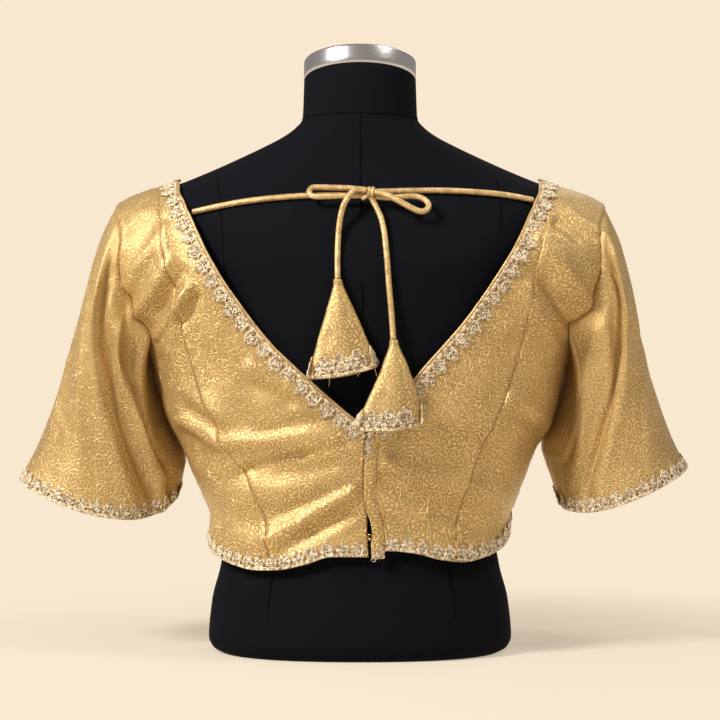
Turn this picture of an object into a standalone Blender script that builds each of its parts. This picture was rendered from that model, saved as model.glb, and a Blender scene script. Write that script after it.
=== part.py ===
"""A choli blouse of gold brocade, worn by a short dress form with a steel neck cap.

Units: the tables below are in millimetres and degrees, and every vertex is multiplied by MM, so the
model is in metres with +Z up. +X is the wearer's right, +Y the way the wearer faces, so the tied back
of the blouse looks along -Y. The origin is the middle of the form's flat underside.
"""

import math
from collections import namedtuple

import bmesh
import bpy
from mathutils import Vector
from mathutils.bvhtree import BVHTree

MM = 0.001

# Driving sizes
CLOTH = 1.2
LACE = 1.0
LACE_WIDTH = 9.5
LACE_STEP = 4.9
SCALLOP_RISE = 3.6
SEAM_GAP = 0.44
LAY_GAP = 0.75
PIPING_RADIUS = 1.3
CORD_RADIUS = 2.5
BACK, FRONT = -1, 1
LEFT, RIGHT = -1, 1

# The dress form and the blouse share one middle line and one roundness
Middle = namedtuple("Middle", "height forward roundness")
MIDDLE = [
    Middle(0, 0, 2.35),
    Middle(96, 0, 2.2),
    Middle(210, 0, 2.25),
    Middle(330, 0, 2.3),
    Middle(385, 1.0, 2.15),
    Middle(414, 2.5, 2.05),
    Middle(440, 5.0, 2.0),
    Middle(473, 9.5, 2.0),
    Middle(508, 14.5, 2.0),
]

# Half widths and depths of the dress form, level by level
Section = namedtuple("Section", "height half_width back front")
FORM = [
    Section(0, 124, 86, 88),
    Section(4, 131, 91.5, 93.5),
    Section(12, 134.5, 94.5, 97),
    Section(45, 131.5, 92, 95),
    Section(75, 124, 88, 92),
    Section(96, 121, 85, 89),
    Section(130, 125, 86, 90.5),
    Section(170, 134, 89, 95),
    Section(210, 144, 93, 100),
    Section(250, 152, 97, 103.5),
    Section(300, 161, 100.5, 103.5),
    Section(335, 175, 100.5, 97),
    Section(360, 191, 95.5, 87.5),
    Section(380, 203.5, 87, 76),
    Section(392, 206.5, 80, 68),
    Section(400, 199, 74.5, 63.5),
    Section(407, 181, 69.5, 60),
    Section(414, 160.5, 65, 57),
    Section(424, 136, 59.5, 53),
    Section(436, 109.5, 54, 49.5),
    Section(447, 86.5, 51, 48),
    Section(456, 69.5, 49.5, 47.5),
    Section(464, 58.5, 48.5, 47.5),
    Section(473, 51.5, 48, 48),
    Section(508, 50.2, 47.6, 48),
]
FORM_AROUND = 36
FORM_UPPER_WAIST_ROWS = (150, 230, 275, 318)
NECK_TILT = 0.2104
NECK_TILT_FROM = 473
NECK_TOP = 508
CAP_RADIUS = 50.4
CAP_HEIGHT = 18.0
CAP_ROUNDING = 2.5
CAP_GAP = 0.3

# Bust cups of the form and of the front panel
CUP_OUT = 78
CUP_HEIGHT = 272
CUP_SPREAD_X = 50
CUP_SPREAD_Z = 48
CUP_RISE = 27

# Half widths and depths of the worn blouse
BLOUSE = [
    Section(60, 137, 96, 100),
    Section(80, 136, 94.5, 98.5),
    Section(100, 134.5, 92.5, 96.5),
    Section(118, 133, 92, 96.5),
    Section(134, 138.5, 93.5, 98),
    Section(154, 147, 95.8, 101),
    Section(177, 156, 98, 104.5),
    Section(192, 164.5, 99.5, 106.5),
    Section(217, 175, 101.3, 109),
    Section(240, 180.5, 102.7, 110),
    Section(270, 190, 104.3, 110),
    Section(300, 212, 105, 108),
    Section(330, 232, 104.5, 102.5),
    Section(350, 237, 101.5, 96),
    Section(370, 234, 95.5, 86.5),
    Section(385, 227, 88.5, 77.5),
    Section(394, 217, 83, 72),
    Section(400, 208.5, 79.5, 69),
    Section(407, 191, 75, 66),
    Section(414, 170, 70.5, 63),
    Section(424, 146, 65, 59),
]

# Rows of the panels below the underarm: heights at the side seam, the princess seam and the middle
LowerRow = namedtuple("LowerRow", "side princess middle")
LOWER_ROWS = [
    LowerRow(124, 112, 110),
    LowerRow(138, 129, 127),
    LowerRow(153, 146, 144),
    LowerRow(170, 164, 161),
    LowerRow(188, 182, 178),
    LowerRow(207, 201, 195),
    LowerRow(228, 222, 212),
    LowerRow(248, 242, 232),
]

# Rows from the underarm to the shoulder: the armhole's turn from the side, and the heights at each edge
UpperRow = namedtuple("UpperRow", "turn armhole princess neck")
UPPER_ROWS = [
    UpperRow(0, 268, 262, 255),
    UpperRow(11, 269.5, 271, 269),
    UpperRow(20, 273, 281, 282),
    UpperRow(25, 280, 292, 295),
    UpperRow(26.5, 293, 305, 309),
    UpperRow(28.5, 309, 319, 324),
    UpperRow(30.5, 330, 337, 342),
    UpperRow(31.5, 352, 358, 363),
    UpperRow(29.5, 371, 377, 382),
    UpperRow(22.5, 384, 391, 396.5),
    UpperRow(15, 390, 400.5, 405.5),
    UpperRow(8, 393, 406.5, 411.5),
    UpperRow(0, 394, 411, 416),
]

# Back neckline, from the bottom of the V to the shoulder, and the princess seams of the back, as
# distances out from the middle on each side
EdgePoint = namedtuple("EdgePoint", "height left right")
NECK_BACK = [
    EdgePoint(195, -1.5, 6.5),
    EdgePoint(208, 9.5, 17.2),
    EdgePoint(223, 25.3, 31.0),
    EdgePoint(237, 42.2, 44.6),
    EdgePoint(252, 58.2, 57.2),
    EdgePoint(267, 74.0, 70.8),
    EdgePoint(286, 90.0, 87.4),
    EdgePoint(308, 106.2, 103.8),
    EdgePoint(329, 120.6, 118.0),
    EdgePoint(356, 135.4, 134.6),
    EdgePoint(382, 148.0, 147.2),
    EdgePoint(394.5, 154.4, 153.4),
    EdgePoint(405, 159.2, 157.6),
    EdgePoint(416, 161.5, 160.5),
]
PRINCESS = [
    EdgePoint(60, 76, 79),
    EdgePoint(106, 78, 82),
    EdgePoint(130, 84.5, 86.5),
    EdgePoint(151, 94, 92),
    EdgePoint(180, 115, 103),
    EdgePoint(223, 134.5, 123.5),
    EdgePoint(254, 145, 133.5),
    EdgePoint(308, 157.8, 146),
    EdgePoint(363, 169.5, 155.5),
    EdgePoint(395, 174.5, 163),
    EdgePoint(411, 177.7, 169),
]

# Centre back edges of the left and right halves, which part below the last hook
OPENING = [
    EdgePoint(60, 8.5, 12.8),
    EdgePoint(88, 7.4, 11.6),
    EdgePoint(100, 6.6, 10.6),
    EdgePoint(110, 6.2, 10.4),
    EdgePoint(118, 6.0, 9.4),
    EdgePoint(128, 5.2, 6.8),
    EdgePoint(144, 2.9, 4.3),
    EdgePoint(162, 2.8, 4.2),
    EdgePoint(178, 3.6, 5.4),
    EdgePoint(195, 4.0, 8.0),
]

# Front neckline, row by row from the middle to just before the shoulder
FrontNeck = namedtuple("FrontNeck", "out height")
FRONT_NECK = [
    FrontNeck(0, 331),
    FrontNeck(42, 333.5),
    FrontNeck(78, 340),
    FrontNeck(107, 351),
    FrontNeck(130, 367),
    FrontNeck(146, 386),
    FrontNeck(155.5, 402),
    FrontNeck(159.5, 411),
]
FRONT_MIDDLE_RISE = (255, 275, 294, 313)

# Height of the hem by turn from the side seam, 90 being the middle
Hem = namedtuple("Hem", "turn left right")
HEM_BACK = [
    Hem(0, 98, 116),
    Hem(15, 91, 103),
    Hem(28, 85, 93),
    Hem(40, 80, 87),
    Hem(50, 77, 84),
    Hem(60, 78, 86.5),
    Hem(70, 83, 92.5),
    Hem(80, 90, 95),
    Hem(90, 90, 93),
]
HEM_FRONT = [
    Hem(0, 98, 116),
    Hem(15, 97, 111),
    Hem(30, 93, 102),
    Hem(50, 90, 94),
    Hem(70, 89, 90),
    Hem(90, 89, 89),
]

# Folds of the body, each a soft ridge or trough between two points seen from behind or in front
Fold = namedtuple("Fold", "face side out height to_out to_height rise spread")
FOLDS = [
    Fold(BACK, LEFT, 22, 183, 130, 186, 3.0, 9),
    Fold(BACK, LEFT, 22, 168, 105, 158, -2.6, 8),
    Fold(BACK, LEFT, 10, 147, 80, 104, 2.8, 9),
    Fold(BACK, LEFT, 40, 148, 112, 138, 2.2, 9),
    Fold(BACK, LEFT, 14, 126, 62, 96, -2.2, 7),
    Fold(BACK, LEFT, 190, 305, 168, 355, 3.2, 9),
    Fold(BACK, LEFT, 176, 284, 160, 322, -3.0, 8),
    Fold(BACK, LEFT, 166, 268, 152, 308, 3.0, 8),
    Fold(BACK, LEFT, 152, 192, 128, 168, -3.0, 8),
    Fold(BACK, RIGHT, 22, 148, 104, 104, -2.8, 9),
    Fold(BACK, RIGHT, 24, 168, 120, 140, 2.6, 10),
    Fold(BACK, RIGHT, 160, 362, 202, 296, 3.2, 10),
    Fold(BACK, RIGHT, 176, 366, 206, 342, 2.6, 8),
    Fold(BACK, RIGHT, 150, 330, 190, 284, -2.6, 9),
    Fold(BACK, RIGHT, 140, 222, 166, 198, 2.4, 9),
    Fold(FRONT, LEFT, 20, 190, 120, 150, 2.6, 11),
    Fold(FRONT, LEFT, 30, 150, 110, 112, -2.2, 9),
    Fold(FRONT, LEFT, 190, 300, 150, 336, 2.8, 9),
    Fold(FRONT, RIGHT, 24, 184, 124, 156, 2.4, 11),
    Fold(FRONT, RIGHT, 26, 146, 104, 118, -2.2, 9),
    Fold(FRONT, RIGHT, 186, 306, 148, 330, 2.8, 9),
]

# Each sleeve: where its hem lies and how the cloth leaves the armhole
Sleeve = namedtuple(
    "Sleeve",
    "out forward height half_width half_depth outer_rise back_dip skew",
)
SLEEVES = {
    LEFT: Sleeve(233, 6, 143, 70, 50, 10, 20.5, 7),
    RIGHT: Sleeve(233, 6, 146, 59, 52, 16, 12.5, 6),
}
Leave = namedtuple("Leave", "base outer middle")
LEAVE_OUT = Leave(15, 11, 19)
LEAVE_DOWN = Leave(49, 4, -19)
LEAVE_BACK = 10
ARRIVE_OUT = Leave(18, 23, -4)
ARRIVE_DOWN = Leave(57, 8, 13)
SLEEVE_ROWS = 12
SLEEVE_AROUND = 2 * (len(UPPER_ROWS) - 1)

# Long folds of the sleeves, from a place around the armhole to one around the hem, 0.25 being behind
SleeveFold = namedtuple("SleeveFold", "side around to_around down to_down rise spread")
SLEEVE_FOLDS = [
    SleeveFold(LEFT, 0.26, 0.43, 0.08, 0.85, 4.0, 0.035),
    SleeveFold(LEFT, 0.19, 0.38, 0.06, 0.85, -5.5, 0.035),
    SleeveFold(LEFT, 0.12, 0.33, 0.05, 0.95, 4.5, 0.04),
    SleeveFold(LEFT, 0.78, 0.70, 0.08, 0.95, 4.5, 0.04),
    SleeveFold(LEFT, 0.70, 0.62, 0.10, 0.90, -4.5, 0.035),
    SleeveFold(RIGHT, 0.27, 0.43, 0.08, 0.90, 4.0, 0.035),
    SleeveFold(RIGHT, 0.21, 0.37, 0.08, 0.90, -4.5, 0.035),
    SleeveFold(RIGHT, 0.15, 0.31, 0.06, 0.85, 4.0, 0.035),
    SleeveFold(RIGHT, 0.77, 0.69, 0.08, 0.95, 4.5, 0.04),
    SleeveFold(RIGHT, 0.69, 0.61, 0.10, 0.90, -4.0, 0.035),
]

# Cords: points across the back, and how far the cord's middle stands off the form
RoutePoint = namedtuple("RoutePoint", "out height stand")
CORDS = {
    "cord_span_left": [
        RoutePoint(-143.6, 384.4, 3.4),
        RoutePoint(-118, 389.7, 2.9),
        RoutePoint(-90, 394, 2.9),
        RoutePoint(-56, 397, 2.9),
        RoutePoint(-24, 398, 2.9),
        RoutePoint(4.6, 398.6, 3.0),
    ],
    "cord_span_right": [
        RoutePoint(149.0, 395.4, 3.6),
        RoutePoint(128, 399, 2.9),
        RoutePoint(107, 401, 2.9),
        RoutePoint(75, 402.4, 2.9),
        RoutePoint(43, 402, 2.9),
        RoutePoint(13.2, 401, 3.0),
    ],
    "cord_loop_left": [
        RoutePoint(4.6, 402.2, 8.4),
        RoutePoint(-10, 403.6, 8.4),
        RoutePoint(-24, 404.2, 8.4),
        RoutePoint(-33, 404.4, 8.5),
        RoutePoint(-39.0, 404.4, 8.8),
        RoutePoint(-42.0, 403.2, 9.1),
        RoutePoint(-43.2, 400.2, 9.6),
        RoutePoint(-42.0, 397.2, 10.1),
        RoutePoint(-39.0, 396.0, 10.4),
        RoutePoint(-33, 395.8, 10.4),
        RoutePoint(-24, 396.0, 10.2),
        RoutePoint(-10, 396.4, 10.0),
        RoutePoint(4.6, 396.8, 9.8),
    ],
    "cord_loop_right": [
        RoutePoint(13.2, 395.9, 8.4),
        RoutePoint(23.5, 394.9, 8.4),
        RoutePoint(34, 395.6, 8.4),
        RoutePoint(44.5, 396.4, 8.4),
        RoutePoint(52.8, 394.6, 8.6),
        RoutePoint(57.8, 390.2, 9.2),
        RoutePoint(57.4, 385.2, 10.0),
        RoutePoint(52.0, 382.6, 11.0),
        RoutePoint(44.0, 385.4, 12.6),
        RoutePoint(32.1, 392.0, 14.2),
        RoutePoint(23.5, 396.6, 14.4),
        RoutePoint(13.2, 399.4, 14.0),
    ],
    "cord_tail_left": [
        RoutePoint(4.8, 400.8, 15.2),
        RoutePoint(-1.0, 401.8, 15.8),
        RoutePoint(-6.0, 399.8, 16.0),
        RoutePoint(-11.0, 393.5, 15.4),
        RoutePoint(-15.0, 384.5, 12.0),
        RoutePoint(-17.6, 371, 6.6),
        RoutePoint(-18.6, 356, 3.6),
        RoutePoint(-19, 340, 3.1),
        RoutePoint(-18.8, 325.6, 4.0),
    ],
    "cord_tail_right": [
        RoutePoint(11.6, 390.6, 6.0),
        RoutePoint(14.8, 385.0, 5.2),
        RoutePoint(18.0, 377, 4.4),
        RoutePoint(20.6, 364, 3.7),
        RoutePoint(22.6, 344, 3.5),
        RoutePoint(24.4, 320, 3.8),
        RoutePoint(26.4, 297, 5.2),
        RoutePoint(28.0, 274.6, 7.4),
    ],
}
CORD_STEP = 13.0
CORD_BEND = 20
KNOT_CENTRE = RoutePoint(8.9, 399.4, 9.0)
KNOT_HALF = (3.7, 7.9, 5.4)

# Cloth tassels: the apex, the middle of the open end, how far that end drops to the left, and how far
# the middle line bows out
Tassel = namedtuple("Tassel", "out behind height to_out to_behind to_height drop bow")
TASSELS = {
    LEFT: Tassel(-18.8, 105.4, 325.0, -14.6, 109.2, 245.6, 0.17, 0.8),
    RIGHT: Tassel(28.2, 106.6, 274.0, 22.4, 115.2, 199.8, 0.06, 3.4),
}
TasselSection = namedtuple("TasselSection", "down half_width half_depth")
TASSEL_SECTIONS = [
    TasselSection(0.0, 3.6, 3.2),
    TasselSection(0.12, 5.8, 3.8),
    TasselSection(0.31, 10.6, 5.0),
    TasselSection(0.64, 19.8, 6.6),
    TasselSection(0.83, 24.4, 7.7),
    TasselSection(1.0, 27.8, 8.6),
]
TASSEL_AROUND = 16
TASSEL_ROWS = 5
TASSEL_LACE_AROUND = 30
TASSEL_LACE_UP = 0.085
TASSEL_LACE_RISE = 0.04
TASSEL_LACE_PAST = 0.025

# Small pieces of the centre back closure
PLACKET_WIDTH = 9.4
PLACKET_BELOW_HEM = 6.0
V_ROW = 6
HOOK_RADIUS = 1.55

COLOURS = {
    "brocade": ((0.69, 0.49, 0.21), 0.42, 0.55),
    "lace": ((0.82, 0.74, 0.60), 0.40, 0.35),
    "piping": ((0.74, 0.52, 0.21), 0.40, 0.5),
    "form": ((0.016, 0.017, 0.021), 0.82, 0.0),
    "steel": ((0.62, 0.61, 0.61), 0.26, 1.0),
}


class Table:
    """Smooth curves, with no overshoot, through the columns of a table whose first column is the key."""

    def __init__(self, rows):
        self.keys = [row[0] for row in rows]
        self.curves = {}
        for place, name in enumerate(rows[0]._fields[1:], start=1):
            values = [row[place] for row in rows]
            self.curves[name] = (values, self._slopes(values))

    def _slopes(self, values):
        steps = [b - a for a, b in zip(self.keys, self.keys[1:])]
        rises = [(b - a) / step for a, b, step in zip(values, values[1:], steps)]
        slopes = [rises[0]]
        for low, high in zip(rises, rises[1:]):
            slopes.append(0.0 if low * high <= 0 else 2 * low * high / (low + high))
        return slopes + [rises[-1]]

    def at(self, name, key):
        """The named column's value at this key."""
        values, slopes = self.curves[name]
        key = min(max(key, self.keys[0]), self.keys[-1])
        place = 0
        while place < len(self.keys) - 2 and key > self.keys[place + 1]:
            place += 1
        step = self.keys[place + 1] - self.keys[place]
        t = (key - self.keys[place]) / step
        return (
            values[place] * (1 + 2 * t) * (1 - t) ** 2
            + values[place + 1] * t * t * (3 - 2 * t)
            + step * t * (1 - t) * (slopes[place] * (1 - t) - slopes[place + 1] * t)
        )


middle = Table(MIDDLE)
form = Table(FORM)
blouse = Table(BLOUSE)
neck_back = Table(NECK_BACK)
princess = Table(PRINCESS)
opening = Table(OPENING)
hem_back = Table(HEM_BACK)
hem_front = Table(HEM_FRONT)
tassel_sections = Table(TASSEL_SECTIONS)
Armhole = namedtuple("Armhole", "share turn height")
armhole = Table([
    Armhole(row / (len(UPPER_ROWS) - 1), point.turn, point.armhole)
    for row, point in enumerate(UPPER_ROWS)
])


def mix(a, b, share):
    """The value this share of the way from a to b."""
    return a + (b - a) * share


def section_point(sections, turn, height):
    """A point of a level section of the form or the blouse, on the right-hand side: turn is from the side
    seam, in degrees, -90 at the middle of the back and 90 at the middle of the front."""
    power = middle.at("roundness", height)
    across, along = math.cos(math.radians(turn)), math.sin(math.radians(turn))
    scale = (abs(across) ** power + abs(along) ** power) ** (-1 / power)
    depth = sections.at("back" if turn < 0 else "front", height)
    x = sections.at("half_width", height) * across * scale
    y = middle.at("forward", height) + depth * along * scale
    if along > 0:
        reach = ((abs(x) - CUP_OUT) / CUP_SPREAD_X) ** 2 + ((height - CUP_HEIGHT) / CUP_SPREAD_Z) ** 2
        y += CUP_RISE * math.exp(-reach) * along**2
    return Vector((x, y, height))


def section_normal(sections, turn, height):
    """The outward direction of the form or the blouse there."""
    around = section_point(sections, turn + 0.5, height) - section_point(sections, turn - 0.5, height)
    up = section_point(sections, turn, height + 0.8) - section_point(sections, turn, height - 0.8)
    return around.cross(up).normalized()


def fold_rise(side, face, out, height):
    """How far the body's folds lift the cloth at a place seen from behind or in front."""
    rise = 0.0
    for fold in FOLDS:
        if fold.side != side or fold.face != face:
            continue
        run = Vector((fold.to_out - fold.out, fold.to_height - fold.height))
        place = Vector((out - fold.out, height - fold.height))
        share = min(max(place.dot(run) / run.length_squared, 0.0), 1.0)
        away = (place - run * share).length / fold.spread
        rise += fold.rise * math.exp(-away * away)
    return rise * (min(out / 24, 1.0) if face == FRONT else 1.0)


def column_of(side):
    """The tables' column for one side."""
    return "left" if side == LEFT else "right"


def cloth_point(side, turn, height, out=0.0):
    """A point of the blouse's cloth on one side, moved outwards by out."""
    point = section_point(blouse, turn, height)
    normal = section_normal(blouse, turn, height)
    face = BACK if turn < 0 else FRONT
    lift = out + fold_rise(side, face, point.x, height) * min(1.0, abs(turn) / 12.0)
    point += normal * lift
    return Vector((side * point.x, point.y, point.z))


def cloth_normal(side, turn, height):
    """The outward direction of the blouse's cloth on one side."""
    normal = section_normal(blouse, turn, height)
    return Vector((side * normal.x, normal.y, normal.z))


def turn_at(face, out, height):
    """The turn at which the blouse's level section is this far out from the middle."""
    near, far = 0.0, 90.0
    for _ in range(30):
        turn = (near + far) / 2
        if section_point(blouse, face * turn, height).x > out:
            near = turn
        else:
            far = turn
    return face * (near + far) / 2


def nudge(turn, height, distance):
    """The turn moved along the cloth by a distance, towards the front when it is positive."""
    per_degree = (section_point(blouse, turn + 1, height) - section_point(blouse, turn - 1, height)).length / 2
    return turn + distance / per_degree


def ridge_height(out):
    """Height of the shoulder seam this far out from the middle."""
    low, high = BLOUSE[-7].height, BLOUSE[-1].height
    for _ in range(30):
        height = (low + high) / 2
        if blouse.at("half_width", height) > out:
            low = height
        else:
            high = height
    return height


def hem_height(face, side, turn):
    """Height of the hem at this turn from the side seam."""
    table = hem_back if face == BACK else hem_front
    return table.at(column_of(side), abs(turn))


def side_edge(face, side, row):
    """(turn, height) of the outer edge at a row: the side seam, then the armhole."""
    upper = row - len(LOWER_ROWS) - 1
    if upper >= 0:
        return face * UPPER_ROWS[upper].turn, UPPER_ROWS[upper].armhole
    return 0.0, LOWER_ROWS[row - 1].side if row else hem_height(face, side, 0)


def princess_edge(side, row):
    """(turn, height) of the back's princess seam at a row."""
    upper = row - len(LOWER_ROWS) - 1
    if row == PANEL_ROWS:
        return 0.0, ridge_height(PRINCESS[-1]._asdict()[column_of(side)])
    if upper >= 0:
        height = UPPER_ROWS[upper].princess
    elif row:
        height = LOWER_ROWS[row - 1].princess
    else:
        height = hem_height(BACK, side, turn_at(BACK, princess.at(column_of(side), 80), 80))
    return turn_at(BACK, princess.at(column_of(side), height), height), height


def back_middle(side, row):
    """(turn, height) of a back half's inner edge: the closure, then the neckline. A turn past -90 lies on
    the other side of the middle."""
    upper = row - len(LOWER_ROWS) - 1
    if row == PANEL_ROWS:
        return 0.0, ridge_height(NECK_BACK[-1]._asdict()[column_of(side)])
    if upper >= 0:
        height = UPPER_ROWS[upper].neck
    else:
        height = LOWER_ROWS[row - 1].middle if row else hem_height(BACK, side, 90)
    if height > OPENING[-1].height:
        out = neck_back.at(column_of(side), height)
    else:
        out = side * opening.at(column_of(side), height)
    turn = turn_at(BACK, abs(out), height)
    return (turn if out > 0 else -180 - turn), height


def front_middle(side, row):
    """(turn, height) of the front's inner edge: its middle line, then its neckline."""
    upper = row - len(LOWER_ROWS) - 1
    if row == PANEL_ROWS:
        return 0.0, ridge_height(NECK_BACK[-1]._asdict()[column_of(side)])
    if row == 0:
        return 90.0, hem_height(FRONT, side, 90)
    if upper < 0:
        return 90.0, LOWER_ROWS[row - 1].middle
    if upper < len(FRONT_MIDDLE_RISE):
        return 90.0, FRONT_MIDDLE_RISE[upper]
    point = FRONT_NECK[upper - len(FRONT_MIDDLE_RISE)]
    return turn_at(FRONT, point.out, point.height), point.height


PANEL_ROWS = len(LOWER_ROWS) + len(UPPER_ROWS)
Panel = namedtuple("Panel", "name face side outer columns")
PANELS = [
    Panel("back_left_centre", BACK, LEFT, "princess", 5),
    Panel("back_left_side", BACK, LEFT, "side", 4),
    Panel("back_right_centre", BACK, RIGHT, "princess", 5),
    Panel("back_right_side", BACK, RIGHT, "side", 4),
    Panel("front_left", FRONT, LEFT, "side", 8),
    Panel("front_right", FRONT, RIGHT, "side", 8),
]
BACK_LEFT, BACK_LEFT_SIDE, BACK_RIGHT, BACK_RIGHT_SIDE, FRONT_LEFT, FRONT_RIGHT = PANELS


def panel_point(panel, column, row):
    """A point of a panel's grid, columns counted from its inner edge and rows from its hem. Each edge that
    is sewn to another panel stops half a seam gap short."""
    face, side, half = panel.face, panel.side, SEAM_GAP / 2
    if face == FRONT:
        inner, outer = front_middle(side, row), side_edge(face, side, row)
    elif panel.outer == "side":
        inner, outer = princess_edge(side, row), side_edge(face, side, row)
    else:
        inner, outer = back_middle(side, row), princess_edge(side, row)
    share = column / panel.columns
    turn, height = mix(inner[0], outer[0], share), mix(inner[1], outer[1], share)
    at_princess = 0
    if panel.outer == "princess" and column == panel.columns:
        at_princess = 1
    if panel.outer == "side" and face == BACK and column == 0:
        at_princess = -1
    if row == PANEL_ROWS:
        slope = (section_point(blouse, 0, height + 0.5) - section_point(blouse, 0, height - 0.5)).length
        return cloth_point(side, face * abs(nudge(0.0, height, half)), height + at_princess * half / slope)
    if at_princess:
        turn = nudge(turn, height, -at_princess * half)
    if column == panel.columns and panel.outer == "side" and row <= len(LOWER_ROWS) + 1:
        turn = face * abs(nudge(0.0, height, half))
    if turn < -90:
        return cloth_point(-side, -180 - turn, height)
    return cloth_point(side, turn, height)


def sleeve_seam(side, around):
    """(point, outward direction) of the sleeve's upper edge: around is 0 at the shoulder, 0.25 behind and
    0.5 at the underarm, where the sleeve's edge lies outside the body's."""
    face = BACK if around <= 0.5 else FRONT
    share = abs(1 - 2 * around)
    turn, height = face * armhole.at("turn", share), armhole.at("height", share)
    point = cloth_point(side, turn, height)
    normal = cloth_normal(side, turn, height)
    ahead = min(share + 0.01, 1.0)
    behind = max(share - 0.01, 0.0)
    along = cloth_point(side, face * armhole.at("turn", ahead), armhole.at("height", ahead)) - cloth_point(
        side, face * armhole.at("turn", behind), armhole.at("height", behind)
    )
    into = normal.cross(along).normalized()
    centre = Vector((side * 205, 0, 335))
    if into.dot(centre - point) < 0:
        into.negate()
    if around in (0.0, 1.0):
        into = Vector((side * 0.8, 0, -0.6))
    under = (1 - math.cos(2 * math.pi * around)) / 2
    return point + into * SEAM_GAP * 1.3 + normal * under * (CLOTH + 1.2 * SEAM_GAP), normal


def sleeve_fold_rise(side, around, down):
    """How far the sleeve's folds lift the cloth."""
    rise = 0.0
    for fold in SLEEVE_FOLDS:
        if fold.side != side:
            continue
        share = (down - fold.down) / (fold.to_down - fold.down)
        away = (around - mix(fold.around, fold.to_around, min(max(share, 0), 1))) / fold.spread
        ends = min(max((down - fold.down * 0.3) / 0.12, 0), 1) * min(max((1.08 - down) / 0.35, 0.35), 1)
        rise += fold.rise * math.exp(-away * away) * ends
    return rise


def sleeve_point(side, around, down, out=0.0):
    """A point of a sleeve: around as in sleeve_seam, down 0 at the armhole and 1 at the hem."""
    sizes = SLEEVES[side]
    seam, _ = sleeve_seam(side, around)
    angle = 2 * math.pi * around
    outer, behind = math.cos(angle), math.sin(angle)
    hem = Vector((
        side * (sizes.out + sizes.half_width * outer),
        sizes.forward - sizes.half_depth * behind,
        sizes.height + sizes.outer_rise * outer - sizes.back_dip * behind + sizes.skew * outer * behind,
    ))

    def pull(size):
        return size.base + size.outer * outer + size.middle * behind * behind

    leave = seam + Vector((side * pull(LEAVE_OUT), -LEAVE_BACK * behind, -pull(LEAVE_DOWN)))
    arrive = hem + Vector((-side * pull(ARRIVE_OUT), LEAVE_BACK * behind, pull(ARRIVE_DOWN)))
    left = 1 - down
    point = seam * left**3 + leave * 3 * left**2 * down + arrive * 3 * left * down**2 + hem * down**3
    axis = Vector((side * mix(214, sizes.out, down), mix(0, sizes.forward, down), point.z))
    away = point - axis
    away.z = 0
    return point + away.normalized() * (out + sleeve_fold_rise(side, around, down))


def tassel_point(side, around, down, out=0.0):
    """A point of a cloth tassel: around once from its left edge over the outer face, down from its apex."""
    tassel = TASSELS[side]
    angle = 2 * math.pi * around
    width = tassel_sections.at("half_width", down) + out
    depth = tassel_sections.at("half_depth", down) + out
    across = -width * math.cos(angle)
    middle_height = mix(tassel.height, tassel.to_height, down)
    return Vector((
        mix(tassel.out, tassel.to_out, down) + 4 * tassel.bow * down * (1 - down) + across,
        -mix(tassel.behind, tassel.to_behind, down) - depth * math.sin(angle),
        middle_height + tassel.drop * across * down,
    ))


def clear_scene():
    """Removes whatever the file held, and makes the two collections."""
    for old in list(bpy.data.objects):
        bpy.data.objects.remove(old)
    collection = bpy.data.collections.new("choli_blouse_on_form")
    bpy.context.scene.collection.children.link(collection)
    return collection


def material(name):
    """The material of that name, made on first use."""
    found = bpy.data.materials.get(name)
    if found:
        return found
    colour, roughness, metallic = COLOURS[name]
    made = bpy.data.materials.new(name)
    made.use_nodes = True
    shader = made.node_tree.nodes["Principled BSDF"]
    shader.inputs["Base Color"].default_value = (*colour, 1)
    shader.inputs["Roughness"].default_value = roughness
    shader.inputs["Metallic"].default_value = metallic
    return made


def add_object(name, data, finish):
    """Links an object with its material."""
    made = bpy.data.objects.new(name, data)
    collection.objects.link(made)
    data.materials.append(material(finish))
    return made


def wall_of(name, shape, finish, thickness):
    """Turns a shape of triangles into an object whose wall has this thickness."""
    bmesh.ops.triangulate(shape, faces=shape.faces)
    bmesh.ops.recalc_face_normals(shape, faces=shape.faces)
    mesh = bpy.data.meshes.new(name)
    shape.to_mesh(mesh)
    shape.free()
    mesh.shade_smooth()
    made = add_object(name, mesh, finish)
    wall = made.modifiers.new("wall", "SOLIDIFY")
    wall.thickness = thickness * MM
    wall.offset = 0
    return made


def sheet_shape(columns, rows, place, ring=False):
    """A grid laid on the surface that place(column, row) gives. A ring closes on itself."""
    shape = bmesh.new()
    bmesh.ops.create_grid(shape, x_segments=columns, y_segments=rows, size=0.5)
    for corner in shape.verts:
        column, row = round((corner.co.x + 0.5) * columns), round((corner.co.y + 0.5) * rows)
        corner.co = place(column, row) * MM
    if ring:
        bmesh.ops.remove_doubles(shape, verts=shape.verts, dist=0.00001)
    return shape


def cloth_sheet(name, columns, rows, place, finish, thickness, ring=False):
    """A grid laid on a surface, as a wall of cloth."""
    return wall_of(name, sheet_shape(columns, rows, place, ring), finish, thickness)


def tube(name, points, radius, finish, sides):
    """A round cord or piping through points, with closed ends."""
    curve = bpy.data.curves.new(name, "CURVE")
    curve.dimensions = "3D"
    curve.bevel_depth = radius * MM
    curve.bevel_resolution = sides
    curve.use_fill_caps = True
    spline = curve.splines.new("POLY")
    spline.points.add(len(points) - 1)
    for target, point in zip(spline.points, points):
        target.co = (*(point * MM), 1)
    return add_object(name, curve, finish)


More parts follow.
